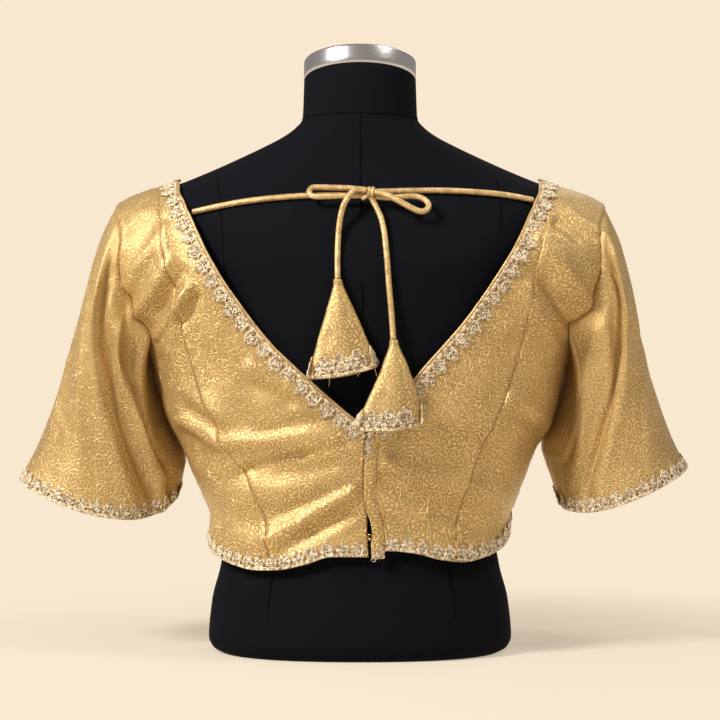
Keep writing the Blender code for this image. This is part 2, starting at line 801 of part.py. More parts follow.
def smooth_route(points):
    """Points on one smooth curve through a route's own points, closer together where it bends."""
    padded = [points[0] * 2 - points[1], *points, points[-1] * 2 - points[-2]]
    fine = []
    for a, b, c, d in zip(padded, padded[1:], padded[2:], padded[3:]):
        for k in range(16):
            t = k / 16
            fine.append(
                (b * 2 + (c - a) * t + (a * 2 - b * 5 + c * 4 - d) * t**2 + (b * 3 - a - c * 3 + d) * t**3) / 2
            )
    fine.append(points[-1])
    kept = [fine[0]]
    heading = (fine[1] - fine[0]).normalized()
    for point, after in zip(fine[1:-1], fine[2:]):
        turned = math.degrees(heading.angle((after - point).normalized()))
        if (point - kept[-1]).length > CORD_STEP or turned > CORD_BEND:
            kept.append(point)
            heading = (after - point).normalized()
    if (fine[-1] - kept[-1]).length < 1.5:
        kept.pop()
    return [*kept, fine[-1]]


def build_form():
    """The torso of the dress form, closed by its flat underside and its tilted neck top."""
    heights = sorted({row.height for row in FORM} | set(FORM_UPPER_WAIST_ROWS))

    def place(column, row):
        turn = 360 * column / FORM_AROUND
        side = RIGHT if turn < 90 or turn >= 270 else LEFT
        folded = turn if turn < 90 else 180 - turn if turn < 270 else turn - 360
        point = section_point(form, folded, heights[row])
        point.x *= side
        tilt = max(0.0, (heights[row] - NECK_TILT_FROM) / (NECK_TOP - NECK_TILT_FROM))
        point.z -= NECK_TILT * tilt * (point.y - middle.at("forward", heights[row]))
        return point

    shape = sheet_shape(FORM_AROUND, len(heights) - 1, place, ring=True)
    bmesh.ops.holes_fill(shape, edges=shape.edges, sides=FORM_AROUND)
    bmesh.ops.recalc_face_normals(shape, faces=shape.faces)
    mesh = bpy.data.meshes.new("form_torso")
    shape.to_mesh(mesh)
    shape.free()
    mesh.shade_smooth()
    return add_object("form_torso", mesh, "form")


def build_neck_cap():
    """The steel cap, a short rounded cylinder on the tilted neck."""
    bpy.ops.mesh.primitive_cylinder_add(vertices=40, radius=CAP_RADIUS * MM, depth=CAP_HEIGHT * MM)
    cap = bpy.context.object
    cap.name = "form_neck_cap"
    for old in list(cap.users_collection):
        old.objects.unlink(cap)
    collection.objects.link(cap)
    cap.data.materials.append(material("steel"))
    angle = math.atan(NECK_TILT)
    lift = CAP_GAP + CAP_HEIGHT / 2
    cap.rotation_euler = (-angle, 0, 0)
    cap.location = Vector((
        0,
        middle.at("forward", NECK_TOP) + lift * math.sin(angle),
        NECK_TOP + lift * math.cos(angle),
    )) * MM
    for corner in cap.data.vertices:
        corner.co.y *= form.at("back", NECK_TOP) / form.at("half_width", NECK_TOP)
    rounding = cap.modifiers.new("rounding", "BEVEL")
    rounding.width = CAP_ROUNDING * MM
    rounding.segments = 2
    rounding.limit_method = "ANGLE"


def build_back(panel):
    """One cut panel of the back."""
    return cloth_sheet(
        panel.name, panel.columns, PANEL_ROWS, lambda column, row: panel_point(panel, column, row), "brocade", CLOTH
    )


def build_front():
    """The front, one piece from side seam to side seam, its halves joined below the neckline."""
    shape = bmesh.new()
    for panel in (FRONT_LEFT, FRONT_RIGHT):
        half = sheet_shape(panel.columns, PANEL_ROWS, lambda column, row: panel_point(panel, column, row))
        mesh = bpy.data.meshes.new("half")
        half.to_mesh(mesh)
        half.free()
        shape.from_mesh(mesh)
        bpy.data.meshes.remove(mesh)
    bmesh.ops.remove_doubles(shape, verts=shape.verts, dist=0.00001)
    return wall_of("front", shape, "brocade", CLOTH)


def sleeve_grid_point(side, column, row):
    """A point of a sleeve's grid, rows counted from the armhole."""
    return sleeve_point(side, (column % SLEEVE_AROUND) / SLEEVE_AROUND, row / SLEEVE_ROWS)


def build_sleeve(side):
    """A bell sleeve, one piece closed under the arm."""
    return cloth_sheet(
        "sleeve_left" if side == LEFT else "sleeve_right",
        SLEEVE_AROUND,
        SLEEVE_ROWS,
        lambda column, row: sleeve_grid_point(side, column, row),
        "brocade",
        CLOTH,
        ring=True,
    )


def tree_of(pieces):
    """A search tree over the middle surfaces of cloth pieces, in millimetres."""
    points, faces = [], []
    for piece in pieces:
        first = len(points)
        points += [corner.co / MM for corner in piece.data.vertices]
        faces += [[first + index for index in face.vertices] for face in piece.data.polygons]
    return BVHTree.FromPolygons(points, faces)


def laid(tree, point, outward, rise):
    """The point moved onto the cloth and then out of its middle by rise, to the side that outward names."""
    nearest, normal, _, _ = tree.find_nearest(point)
    normals = [normal]
    for step in (Vector((2, 0, 0)), Vector((0, 2, 0)), Vector((0, 0, 2))):
        normals += [tree.find_nearest(nearest + step)[1], tree.find_nearest(nearest - step)[1]]
    total = Vector((0, 0, 0))
    for each in normals:
        total += each if each.dot(outward) > 0 else -each
    return nearest + total.normalized() * rise


Spot = namedtuple("Spot", "point into outward")


def edge_spots(edge, centre, step, ring=False):
    """Places about a step apart along an edge, given as (edge point, next point inwards) pairs, each with the
    direction into the cloth and the one away from centre."""
    spots = []
    edge = [pair for pair, before in zip(edge, edge[-1:] + edge) if (pair[0] - before[0]).length > 1]
    pairs = list(zip(edge, edge[1:] + edge[:1])) if ring else list(zip(edge, edge[1:]))
    for (start, start_in), (end, end_in) in pairs:
        along = end - start
        count = max(1, round(along.length / step))
        for k in range(count + (not ring and end is edge[-1][0])):
            point = start.lerp(end, k / count)
            into = start_in.lerp(end_in, k / count) - point
            into -= along * into.dot(along) / along.length_squared
            spots.append(Spot(point, into.normalized(), point - centre(point)))
    return spots


def lay_strip(name, spots, tree, inset, width, gap=LAY_GAP, ring=False):
    """A scalloped strip of lace laid on the cloth along these places: about three of them to a scallop."""
    scallops = round(len(spots) / 3)

    def place(column, row):
        spot = spots[column % len(spots)]
        reach = inset
        if row:
            phase = column * scallops / len(spots) % 1
            reach += width + (0.0 if phase < 0.3 else SCALLOP_RISE)
        rise = CLOTH / 2 + gap + LACE / 2
        return laid(tree, spot.point + spot.into * reach, spot.outward, rise)

    return cloth_sheet(name, len(spots) - (not ring), 1, place, "lace", LACE, ring)


def neck_edge(side):
    """(edge point, next point inwards) pairs from the bottom of the V over the shoulder to the front's
    middle. The first is moved up from where the halves meet."""
    back, front = (BACK_LEFT, FRONT_LEFT) if side == LEFT else (BACK_RIGHT, FRONT_RIGHT)
    edge = [(panel_point(back, 0, row), panel_point(back, 1, row)) for row in range(V_ROW, PANEL_ROWS + 1)]
    edge[0] = (edge[0][0].lerp(edge[1][0], 0.1), edge[0][1].lerp(edge[1][1], 0.1))
    last = PANEL_ROWS - len(FRONT_NECK)
    edge += [(panel_point(front, 0, row), panel_point(front, 1, row)) for row in range(PANEL_ROWS, last - 1, -1)]
    return edge


def trunk(point):
    """The middle of the body behind a point, lower down for the shoulders."""
    return Vector((point.x * 0.5, 5, min(point.z, 330)))


def build_neck_trims(tree):
    """The lace along the neckline and the piping that rolls over its edge."""
    left, right = neck_edge(LEFT), neck_edge(RIGHT)
    middle_pair = (left[-1][0], left[-1][0] - Vector((0, 0, 10)))
    edge = [*left[:-1], middle_pair, *reversed(right[:-1])]
    lay_strip("neck_lace", edge_spots(edge, trunk, LACE_STEP), tree, 0.9, LACE_WIDTH)
    out = PIPING_RADIUS + SEAM_GAP
    points = [spot.point - spot.into * out for spot in edge_spots(edge, trunk, 100)]
    points[0] = points[0].lerp(points[1], 0.42)
    points[-1] = points[-1].lerp(points[-2], 0.42)
    tube("neck_piping", points, PIPING_RADIUS, "piping", 1)


def build_hem_lace(tree):
    """The lace round the hem of the body, open at the centre back."""
    edge = []
    for panel, backwards in (
        (BACK_LEFT, False), (BACK_LEFT_SIDE, False), (FRONT_LEFT, True),
        (FRONT_RIGHT, False), (BACK_RIGHT_SIDE, True), (BACK_RIGHT, True),
    ):
        columns = list(range(panel.columns + 1))
        if backwards:
            columns.reverse()
        edge += [(panel_point(panel, column, 0), panel_point(panel, column, 1)) for column in columns]
    band = (PLACKET_WIDTH + 1.4) / (edge[-2][0] - edge[-1][0]).length
    edge[-1] = (edge[-1][0].lerp(edge[-2][0], band), edge[-1][1].lerp(edge[-2][1], band))
    edge[0] = (edge[0][0].lerp(edge[1][0], 0.1), edge[0][1].lerp(edge[1][1], 0.1))
    lay_strip("hem_lace", edge_spots(edge, trunk, LACE_STEP), tree, 1.4, LACE_WIDTH)


def build_sleeve_lace(side, sleeve):
    """The lace round a sleeve's hem."""
    edge = [
        (sleeve_grid_point(side, column, SLEEVE_ROWS), sleeve_grid_point(side, column, SLEEVE_ROWS - 1))
        for column in range(SLEEVE_AROUND)
    ]
    sizes = SLEEVES[side]
    spots = edge_spots(edge, lambda point: Vector((side * sizes.out, sizes.forward, point.z)), 5.2, ring=True)
    name = "sleeve_lace_left" if side == LEFT else "sleeve_lace_right"
    lay_strip(name, spots, tree_of([sleeve]), 1.6, LACE_WIDTH, gap=1.1, ring=True)


def build_closure():
    """The centre back closure: the band on the right half, the flap behind it and the last hook."""
    def right_back(row, from_edge, rise):
        edge, inner = panel_point(BACK_RIGHT, 0, row), panel_point(BACK_RIGHT, 1, row)
        upper = panel_point(BACK_RIGHT, 0, row + 1)
        outward = (inner - edge).cross(upper - edge).normalized()
        if outward.y > 0:
            outward.negate()
        return edge + (inner - edge).normalized() * from_edge + outward * rise

    out = CLOTH / 2 + LAY_GAP + CLOTH / 2

    def band(column, row):
        from_edge = 0.3 + PLACKET_WIDTH * column / 2
        rise = out + 0.3 * (column == 1)
        if row == 0:
            low, high = right_back(0, from_edge, rise), right_back(1, from_edge, rise)
            return low + (low - high).normalized() * PLACKET_BELOW_HEM
        if row < V_ROW:
            return right_back(row - 1, from_edge, rise)
        low, high = right_back(V_ROW - 2, from_edge, rise), right_back(V_ROW - 1, from_edge, rise)
        return low.lerp(high, 1.15)

    cloth_sheet("placket_band", 2, V_ROW, band, "brocade", CLOTH)

    def flap(column, row):
        place = V_ROW - 4 + row
        if column == 2:
            return right_back(place, 11, -CLOTH - SEAM_GAP - 0.6)
        inner = right_back(place, 0.5, -CLOTH - SEAM_GAP - 0.6)
        if column == 1:
            return inner
        left = panel_point(BACK_LEFT, 0, place)
        return Vector((left.x - 7, max(left.y, inner.y) + 1.2, left.z))

    cloth_sheet("underflap", 2, 4, flap, "brocade", CLOTH)
    share = 0.75
    left_edge = panel_point(BACK_LEFT, 0, 0).lerp(panel_point(BACK_LEFT, 0, 1), share)
    seat = left_edge + Vector((HOOK_RADIUS + SEAM_GAP, 0, 0))
    add_ball("hook", seat, HOOK_RADIUS, 10, 7, "piping")


def add_ball(name, centre, radius, around, rings, finish):
    """A sphere, linked and finished like the rest."""
    bpy.ops.mesh.primitive_uv_sphere_add(segments=around, ring_count=rings, radius=radius * MM, location=centre * MM)
    made = bpy.context.object
    made.name = name
    for old in list(made.users_collection):
        old.objects.unlink(made)
    collection.objects.link(made)
    made.data.materials.append(material(finish))
    made.data.shade_smooth()
    return made


def route_point(tree, place):
    """A cord's point, so far behind the form that its middle stands off the surface."""
    near, far = -20.0, -170.0
    for _ in range(24):
        point = Vector((place.out, (near + far) / 2, place.height))
        nearest, normal, _, away = tree.find_nearest(point)
        if (point - nearest).dot(normal) > 0 and away > place.stand:
            far = point.y
        else:
            near = point.y
    return point


def build_cords(tree):
    """The tied cords: two spans across the back, two loops and two tails, all meeting the knot."""
    for name, route in CORDS.items():
        tube(name, smooth_route([route_point(tree, place) for place in route]), CORD_RADIUS, "brocade", 2)
    knot = add_ball("bow_knot", route_point(tree, KNOT_CENTRE), 1 / MM, 14, 8, "brocade")
    for corner in knot.data.vertices:
        corner.co = Vector([
            math.copysign(abs(value) ** 0.7, value) * size * MM for value, size in zip(corner.co, KNOT_HALF)
        ])


def build_tassel(side):
    """A folded cloth tassel hung from its cord, and the lace that hangs past its open end."""
    name = "left" if side == LEFT else "right"

    def cone(column, row):
        return tassel_point(side, (column % TASSEL_AROUND) / TASSEL_AROUND, row / TASSEL_ROWS)

    def lace(column, row):
        around = (column % TASSEL_LACE_AROUND) / TASSEL_LACE_AROUND
        up = TASSEL_LACE_UP + (0.0 if column % 3 == 0 else TASSEL_LACE_RISE)
        return tassel_point(side, around, 1 - up if row else 1 + TASSEL_LACE_PAST, CLOTH / 2 + LAY_GAP + LACE / 2)

    cloth_sheet(f"tassel_{name}", TASSEL_AROUND, TASSEL_ROWS, cone, "brocade", CLOTH, ring=True)
    cloth_sheet(f"tassel_lace_{name}", TASSEL_LACE_AROUND, 1, lace, "lace", LACE, ring=True)


collection = clear_scene()
form_tree = tree_of([build_form()])
build_neck_cap()
body = [build_back(panel) for panel in (BACK_LEFT, BACK_LEFT_SIDE, BACK_RIGHT, BACK_RIGHT_SIDE)]
body.append(build_front())
body_tree = tree_of(body)
build_neck_trims(body_tree)
build_hem_lace(body_tree)
build_closure()
for which in (LEFT, RIGHT):
    build_sleeve_lace(which, build_sleeve(which))
    build_tassel(which)
build_cords(form_tree)
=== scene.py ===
"""The looks of a gold brocade choli blouse, tied at the back and worn by a limbless dress form.

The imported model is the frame. Each CAD node is replaced by a finer piece on the same surface: the tables
below are those of the part's source, in millimetres and degrees, and every mesh is made in metres.
+Z is up, +X is the wearer's right and the tied back looks along -Y.
"""

from __future__ import annotations

import logging
import math
from collections.abc import Callable, Sequence
from dataclasses import dataclass, field
from enum import Enum
from typing import Any, NamedTuple

import bmesh
import bpy
import numpy as np
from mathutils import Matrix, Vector, noise
from mathutils.bvhtree import BVHTree

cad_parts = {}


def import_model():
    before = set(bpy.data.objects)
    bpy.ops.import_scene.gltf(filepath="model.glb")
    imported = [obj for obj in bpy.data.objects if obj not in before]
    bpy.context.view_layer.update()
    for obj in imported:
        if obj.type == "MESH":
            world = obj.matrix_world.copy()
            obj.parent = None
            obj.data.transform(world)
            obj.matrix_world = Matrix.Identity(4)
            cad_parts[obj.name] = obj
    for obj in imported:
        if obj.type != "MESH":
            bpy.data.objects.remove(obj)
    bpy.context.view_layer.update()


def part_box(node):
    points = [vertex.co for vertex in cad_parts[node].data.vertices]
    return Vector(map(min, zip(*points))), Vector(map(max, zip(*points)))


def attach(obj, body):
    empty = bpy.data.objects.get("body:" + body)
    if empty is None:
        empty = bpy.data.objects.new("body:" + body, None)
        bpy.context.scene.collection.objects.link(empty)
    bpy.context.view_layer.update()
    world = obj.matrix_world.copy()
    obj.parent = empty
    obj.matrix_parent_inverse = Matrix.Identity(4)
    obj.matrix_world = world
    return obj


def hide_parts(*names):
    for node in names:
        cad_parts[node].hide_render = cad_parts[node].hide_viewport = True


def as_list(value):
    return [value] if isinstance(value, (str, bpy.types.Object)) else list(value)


LOG = logging.getLogger("choli")
MM = 0.001
BODY = "root"
Array = np.ndarray
Value = Any
Piece = bpy.types.Object
Mesh = bpy.types.Mesh
Material = bpy.types.Material
Shader = bpy.types.Node
TO_VIEWER = np.array((0, -1.0, 0))


class Side(Enum):
    """The photograph's left or right, with its sign along X."""

    LEFT = -1
    RIGHT = 1

    @property
    def word(self) -> str:
        """The side's name in node names."""
        return self.name.lower()


class Face(Enum):
    """The back or the front of the blouse."""

    BACK = -1
    FRONT = 1


class Slot(Enum):
    """The material slots."""

    BROCADE = "brocade"
    LACE = "lace"
    PIPING = "piping"
    HOOK = "hook"
    FORM = "form"
    STEEL = "steel"


def mix(low: Value, high: Value, share: Value) -> Value:
    """The value this share of the way from low to high."""
    return low + (high - low) * share


def unit(vectors: Array) -> Array:
    """The vectors, one unit long."""
    return vectors / np.linalg.norm(vectors, axis=-1, keepdims=True)


def columns(*parts: Value) -> Array:
    """Points or places made of these columns."""
    return np.stack(np.broadcast_arrays(*parts), axis=-1)


def ease(value: Value, low: float, high: float) -> Array:
    """A smooth step from 0 at low to 1 at high."""
    share = np.clip((value - low) / (high - low), 0.0, 1.0)
    return share * share * (3 - 2 * share)


class Table:
    """Smooth curves, with no overshoot, through the columns of a table whose first column is the key."""

    def __init__(self, names: str, rows: Sequence[Sequence[float]]) -> None:
        """Reads the table.

        Args:
            names: The columns' names, the key's first.
            rows: The table's rows, by rising key.
        """
        data = np.array(rows, dtype=float)
        self.names = names.split()[1:]
        self.keys, self.values = data[:, 0], data[:, 1:]
        rises = np.diff(self.values, axis=0) / np.diff(self.keys)[:, None]
        low, high = rises[:-1], rises[1:]
        total = np.where(low + high == 0, 1, low + high)
        inner = np.where(low * high <= 0, 0, 2 * low * high / total)
        self.slopes = np.vstack([rises[:1], inner, rises[-1:]])

    def at(self, name: str, key: Value) -> Array:
        """The named column's values at these keys."""
        column = self.names.index(name)
        value, slope = self.values[:, column], self.slopes[:, column]
        key = np.clip(key, self.keys[0], self.keys[-1])
        place = np.clip(np.searchsorted(self.keys, key, side="right") - 1, 0, len(self.keys) - 2)
        step = self.keys[place + 1] - self.keys[place]
        t = (key - self.keys[place]) / step
        ends = value[place] * (1 + 2 * t) * (1 - t) ** 2 + value[place + 1] * t * t * (3 - 2 * t)
        return ends + step * t * (1 - t) * (slope[place] * (1 - t) - slope[place + 1] * t)


# The part's own sizes
CLOTH_WALL, BAND_WALL = 1.0, 1.3
LACE_WIDTH = 12.4
PIPING_RADIUS = 1.3
CORD_RADIUS = 2.5
CUP_OUT, CUP_HEIGHT, CUP_SPREAD_X, CUP_SPREAD_Z, CUP_RISE = 78, 272, 50, 48, 27

MIDDLE = Table("height forward roundness", [
    (0, 0, 2.35), (96, 0, 2.2), (210, 0, 2.25), (330, 0, 2.3), (385, 1.0, 2.15), (414, 2.5, 2.05),
    (440, 5.0, 2.0), (473, 9.5, 2.0), (508, 14.5, 2.0),
])
SECTION = "height half_width back front"
FORM_LEVELS = Table(SECTION, [
    (0, 124, 86, 88), (4, 131, 91.5, 93.5), (12, 134.5, 94.5, 97), (45, 131.5, 92, 95), (75, 124, 88, 92),
    (96, 121, 85, 89), (130, 125, 86, 90.5), (170, 134, 89, 95), (210, 144, 93, 100), (250, 152, 97, 103.5),
    (300, 161, 100.5, 103.5), (335, 175, 100.5, 97), (360, 191, 95.5, 87.5), (380, 203.5, 87, 76),
    (392, 206.5, 80, 68), (400, 199, 74.5, 63.5), (407, 181, 69.5, 60), (414, 160.5, 65, 57),
    (424, 136, 59.5, 53), (436, 109.5, 54, 49.5), (447, 86.5, 51, 48), (456, 69.5, 49.5, 47.5),
    (464, 58.5, 48.5, 47.5), (473, 51.5, 48, 48), (508, 50.2, 47.6, 48),
])
BLOUSE_ROWS = [
    (60, 137, 96, 100), (80, 136, 94.5, 98.5), (100, 134.5, 92.5, 96.5), (118, 133, 92, 96.5),
    (134, 138.5, 93.5, 98), (154, 147, 95.8, 101), (177, 156, 98, 104.5), (192, 164.5, 99.5, 106.5),
    (217, 175, 101.3, 109), (240, 180.5, 102.7, 110), (270, 190, 104.3, 110), (300, 212, 105, 108),
    (330, 232, 104.5, 102.5), (350, 237, 101.5, 96), (370, 234, 95.5, 86.5), (385, 227, 88.5, 77.5),
    (394, 217, 83, 72), (400, 208.5, 79.5, 69), (407, 191, 75, 66), (414, 170, 70.5, 63), (424, 146, 65, 59),
]
BLOUSE_LEVELS = Table(SECTION, BLOUSE_ROWS)
NECK_TILT, NECK_TILT_FROM, NECK_TOP = 0.2104, 473, 508
CAP_RADIUS, CAP_HEIGHT, CAP_ROUNDING, CAP_GAP = 50.4, 18.0, 2.5, 0.3


class LowerRow(NamedTuple):
    """Heights of a row below the underarm at the side seam, the princess seam and the middle."""

    side: float
    princess: float
    middle: float


class UpperRow(NamedTuple):
    """The armhole's turn at a row, and the heights of its edges."""

    turn: float
    armhole: float
    princess: float
    neck: float


LOWER_ROWS = [LowerRow(*row) for row in (
    (124, 112, 110), (138, 129, 127), (153, 146, 144), (170, 164, 161), (188, 182, 178), (207, 201, 195),
    (228, 222, 212), (248, 242, 232),
)]
UPPER_ROWS = [UpperRow(*row) for row in (
    (0, 268, 262, 255), (11, 269.5, 271, 269), (20, 273, 281, 282), (25, 280, 292, 295),
    (26.5, 293, 305, 309), (28.5, 309, 319, 324), (30.5, 330, 337, 342), (31.5, 352, 358, 363),
    (29.5, 371, 377, 382), (22.5, 384, 391, 396.5), (15, 390, 400.5, 405.5), (8, 393, 406.5, 411.5),
    (0, 394, 411, 416),
)]
ROWS = len(LOWER_ROWS) + len(UPPER_ROWS)
EDGE = "height left right"
NECK_BACK = Table(EDGE, [
    (195, -1.5, 6.5), (208, 9.5, 17.2), (223, 25.3, 31.0), (237, 42.2, 44.6), (252, 58.2, 57.2),
    (267, 74.0, 70.8), (286, 90.0, 87.4), (308, 106.2, 103.8), (329, 120.6, 118.0), (356, 135.4, 134.6),
    (382, 148.0, 147.2), (394.5, 154.4, 153.4), (405, 159.2, 157.6), (416, 161.5, 160.5),
])
PRINCESS = Table(EDGE, [
    (60, 76, 79), (106, 78, 82), (130, 84.5, 86.5), (151, 94, 92), (180, 115, 103), (223, 134.5, 123.5),
    (254, 145, 133.5), (308, 157.8, 146), (363, 169.5, 155.5), (395, 174.5, 163), (411, 177.7, 169),
])
OPENING = Table(EDGE, [
    (60, 8.5, 12.8), (88, 7.4, 11.6), (100, 6.6, 10.6), (110, 6.2, 10.4), (118, 6.2, 9.4), (128, 6.0, 6.8),
    (144, 4.0, 4.3), (162, 3.9, 4.2), (178, 4.8, 5.4), (195, 4.6, 8.0),
])
FRONT_NECK = [
    (0, 331), (42, 333.5), (78, 340), (107, 351), (130, 367), (146, 386), (155.5, 402), (159.5, 411),
]
FRONT_MIDDLE_RISE = (255, 275, 294, 313)
HEM_BACK = Table("turn left right", [
    (0, 98, 116), (15, 91, 103), (28, 85, 93), (40, 80, 87), (50, 77, 84), (60, 78, 86.5), (70, 83, 92.5),
    (80, 90, 95), (90, 90, 93),
])
HEM_FRONT = Table("turn left right", [
    (0, 98, 116), (15, 97, 111), (30, 93, 102), (50, 90, 94), (70, 89, 90), (90, 89, 89),
])


class Fold(NamedTuple):
    """A soft ridge or trough of the body between two places seen from behind or in front."""

    face: Face
    side: Side
    out: float
    height: float
    to_out: float
    to_height: float
    rise: float
    spread: float


def folds(face: Face, side: Side, *rows: Sequence[float]) -> list[Fold]:
    """The folds of one half, from rows of their sizes."""
    return [Fold(face, side, *row) for row in rows]


MAIN_FOLDS = [
    *folds(
        Face.BACK, Side.LEFT,
        (22, 183, 130, 186, 3.0, 9), (22, 168, 105, 158, -2.6, 8), (10, 147, 80, 104, 2.8, 9),
        (40, 148, 112, 138, 2.2, 9), (14, 126, 62, 96, -2.2, 7), (190, 305, 168, 355, 3.2, 9),
        (176, 284, 160, 322, -3.0, 8), (166, 268, 152, 308, 3.0, 8), (152, 192, 128, 168, -3.0, 8),
    ),
    *folds(
        Face.BACK, Side.RIGHT,
        (22, 148, 104, 104, -2.8, 9), (24, 168, 120, 140, 2.6, 10), (160, 362, 202, 296, 3.2, 10),
        (176, 366, 206, 342, 2.6, 8), (150, 330, 190, 284, -2.6, 9), (140, 222, 166, 198, 2.4, 9),
    ),
    *folds(
        Face.FRONT, Side.LEFT,
        (20, 190, 120, 150, 2.6, 11), (30, 150, 110, 112, -2.2, 9), (190, 300, 150, 336, 2.8, 9),
    ),
    *folds(
        Face.FRONT, Side.RIGHT,
        (24, 184, 124, 156, 2.4, 11), (26, 146, 104, 118, -2.2, 9), (186, 306, 148, 330, 2.8, 9),
    ),
]
# Smaller creases that the solids leave out
FINE_FOLDS = [
    *folds(
        Face.BACK, Side.LEFT,
        (21, 196, 120, 187, 2.6, 7.0), (12, 186, 49, 176, -2.6, 4.2), (49, 176, 95, 164, -2.8, 4.6),
        (95, 164, 130, 142, -2.6, 4.8), (34, 208, 86, 195, -1.8, 4.6), (36, 213, 58, 213, 1.4, 5.0),
        (7, 145, 49, 119, 2.8, 6.0), (49, 119, 76, 102, 2.6, 6.0), (10, 151, 69, 125, -2.4, 4.6),
        (7, 125, 74, 95, -2.2, 5.0), (107, 157, 127, 143, 2.0, 5.0), (78, 99, 125, 104, 2.2, 7.5),
        (204, 322, 168, 368, 2.2, 5.4), (198, 309, 177, 341, -3.4, 4.8), (191, 296, 160, 342, 3.6, 4.2),
        (175, 300, 150, 332, -3.2, 4.2), (175, 279, 146, 317, 5.0, 4.6), (151, 289, 139, 311, -4.4, 4.6),
        (152, 232, 116, 210, 2.4, 6.0), (150, 214, 120, 196, -3.2, 5.0), (156, 204, 142, 196, 3.4, 6.0),
        (146, 190, 124, 178, -2.0, 4.6), (92, 252, 58, 232, 2.2, 6.0), (98, 238, 60, 221, -2.2, 5.0),
        (104, 336, 122, 282, 1.2, 9.0), (60, 286, 92, 266, -1.0, 9.0),
    ),
    *folds(
        Face.BACK, Side.RIGHT,
        (17, 146, 56, 126, 2.6, 5.0), (56, 126, 108, 97, 2.6, 5.0), (17, 123, 91, 99, -2.3, 5.0),
        (20, 160, 84, 132, -2.2, 4.6), (25, 170, 42, 152, 1.8, 5.0), (99, 181, 79, 143, 2.0, 6.0),
        (112, 176, 92, 138, -2.0, 5.0), (153, 361, 207, 292, 3.6, 5.6), (171, 374, 207, 343, -4.2, 5.4),
        (181, 386, 205, 370, 2.4, 5.0), (157, 324, 186, 285, -4.0, 5.4), (140, 318, 170, 268, 2.6, 6.0),
        (132, 212, 158, 194, -2.2, 5.0), (128, 222, 156, 208, 2.0, 6.0), (96, 150, 124, 122, 1.8, 5.0),
        (60, 216, 118, 196, 1.6, 7.0), (66, 204, 116, 184, -1.6, 5.0), (106, 330, 124, 284, 1.2, 9.0),
    ),
    *folds(
        Face.FRONT, Side.LEFT,
        (30, 176, 112, 140, 1.8, 5.4), (184, 310, 146, 324, -1.8, 5.0), (100, 214, 150, 238, 1.6, 6.0),
        (40, 132, 96, 104, 1.6, 5.2),
    ),
    *folds(
        Face.FRONT, Side.RIGHT,
        (32, 172, 116, 146, 1.8, 5.4), (182, 314, 150, 320, -1.8, 5.0), (104, 210, 152, 232, 1.6, 6.0),
        (36, 136, 98, 108, 1.6, 5.2),
    ),
]


class SleeveFold(NamedTuple):
    """A long fold of a sleeve, from a place around the armhole to one around the hem."""

    around: float
    to_around: float
    down: float
    to_down: float
    rise: float
    spread: float


LEAVE_OUT, LEAVE_DOWN, LEAVE_BACK = (15, 11, 19), (49, 4, -19), 10
ARRIVE_OUT, ARRIVE_DOWN = (18, 23, -4), (57, 8, 13)
ARMHOLE = Table("share turn height", [
    (row / (len(UPPER_ROWS) - 1), point.turn, point.armhole) for row, point in enumerate(UPPER_ROWS)
])

Route = Sequence[tuple[float, float, float]]


class Levels:
    """A body given by level sections: the dress form or the worn blouse."""

    def __init__(self, table: Table) -> None:
        """Takes the sections' table."""
        self.table = table

    def point(self, turn: Value, height: Value) -> Array:
        """Points of the right-hand side: turn is from the side seam, -90 at the middle of the back."""
        turn, height = np.broadcast_arrays(np.asarray(turn, float), np.asarray(height, float))
        power = MIDDLE.at("roundness", height)
        across, along = np.cos(np.radians(turn)), np.sin(np.radians(turn))
        scale = (np.abs(across) ** power + np.abs(along) ** power) ** (-1 / power)
        depth = np.where(turn < 0, self.table.at("back", height), self.table.at("front", height))
        x = self.table.at("half_width", height) * across * scale
        reach = ((np.abs(x) - CUP_OUT) / CUP_SPREAD_X) ** 2 + ((height - CUP_HEIGHT) / CUP_SPREAD_Z) ** 2
        cup = np.where(along > 0, CUP_RISE * np.exp(-reach) * along**2, 0)
        return columns(x, MIDDLE.at("forward", height) + depth * along * scale + cup, height)

    def normal(self, turn: Value, height: Value) -> Array:
        """The outward directions there."""
        around = self.point(turn + 0.5, height) - self.point(turn - 0.5, height)
        up = self.point(turn, height + 0.8) - self.point(turn, height - 0.8)
        return unit(np.cross(around, up))

    def turn_at(self, face: Face, out: Value, height: Value) -> Array:
        """The turns at which the level section is this far out from the middle."""
        out, height = np.broadcast_arrays(np.asarray(out, float), np.asarray(height, float))
        near, far = np.zeros(out.shape), np.full(out.shape, 90.0)
        for _ in range(30):
            turn = (near + far) / 2
            beyond = self.point(face.value * turn, height)[..., 0] > out
            near, far = np.where(beyond, turn, near), np.where(beyond, far, turn)
        return face.value * (near + far) / 2


FORM = Levels(FORM_LEVELS)
BLOUSE = Levels(BLOUSE_LEVELS)


def fold_rise(side: Side, face: Face, out: Array, height: Array, table: Sequence[Fold]) -> Array:
    """How far folds lift the cloth at places seen from behind or in front.

    Args:
        side: The half that the places lie on.
        face: The face that they lie on.
        out: Their distances out from the middle.
        height: Their heights.
        table: The folds.

    Returns:
        The lifts, in millimetres.
    """
    rise = np.zeros(np.shape(out))
    for fold in table:
        if fold.side is not side or fold.face is not face:
            continue
        run_out, run_up = fold.to_out - fold.out, fold.to_height - fold.height
        away_out, away_up = out - fold.out, height - fold.height
        share = np.clip((away_out * run_out + away_up * run_up) / (run_out**2 + run_up**2), 0, 1)
        away = (away_out - run_out * share) ** 2 + (away_up - run_up * share) ** 2
        rise += fold.rise * np.exp(-away / fold.spread**2)
    return rise * (np.minimum(out / 24, 1.0) if face is Face.FRONT else 1.0)


def folded(turn: Array) -> Array:
    """Turns past the middle of the back, as turns of the other half."""
    return np.where(turn < -90, -180 - turn, turn)


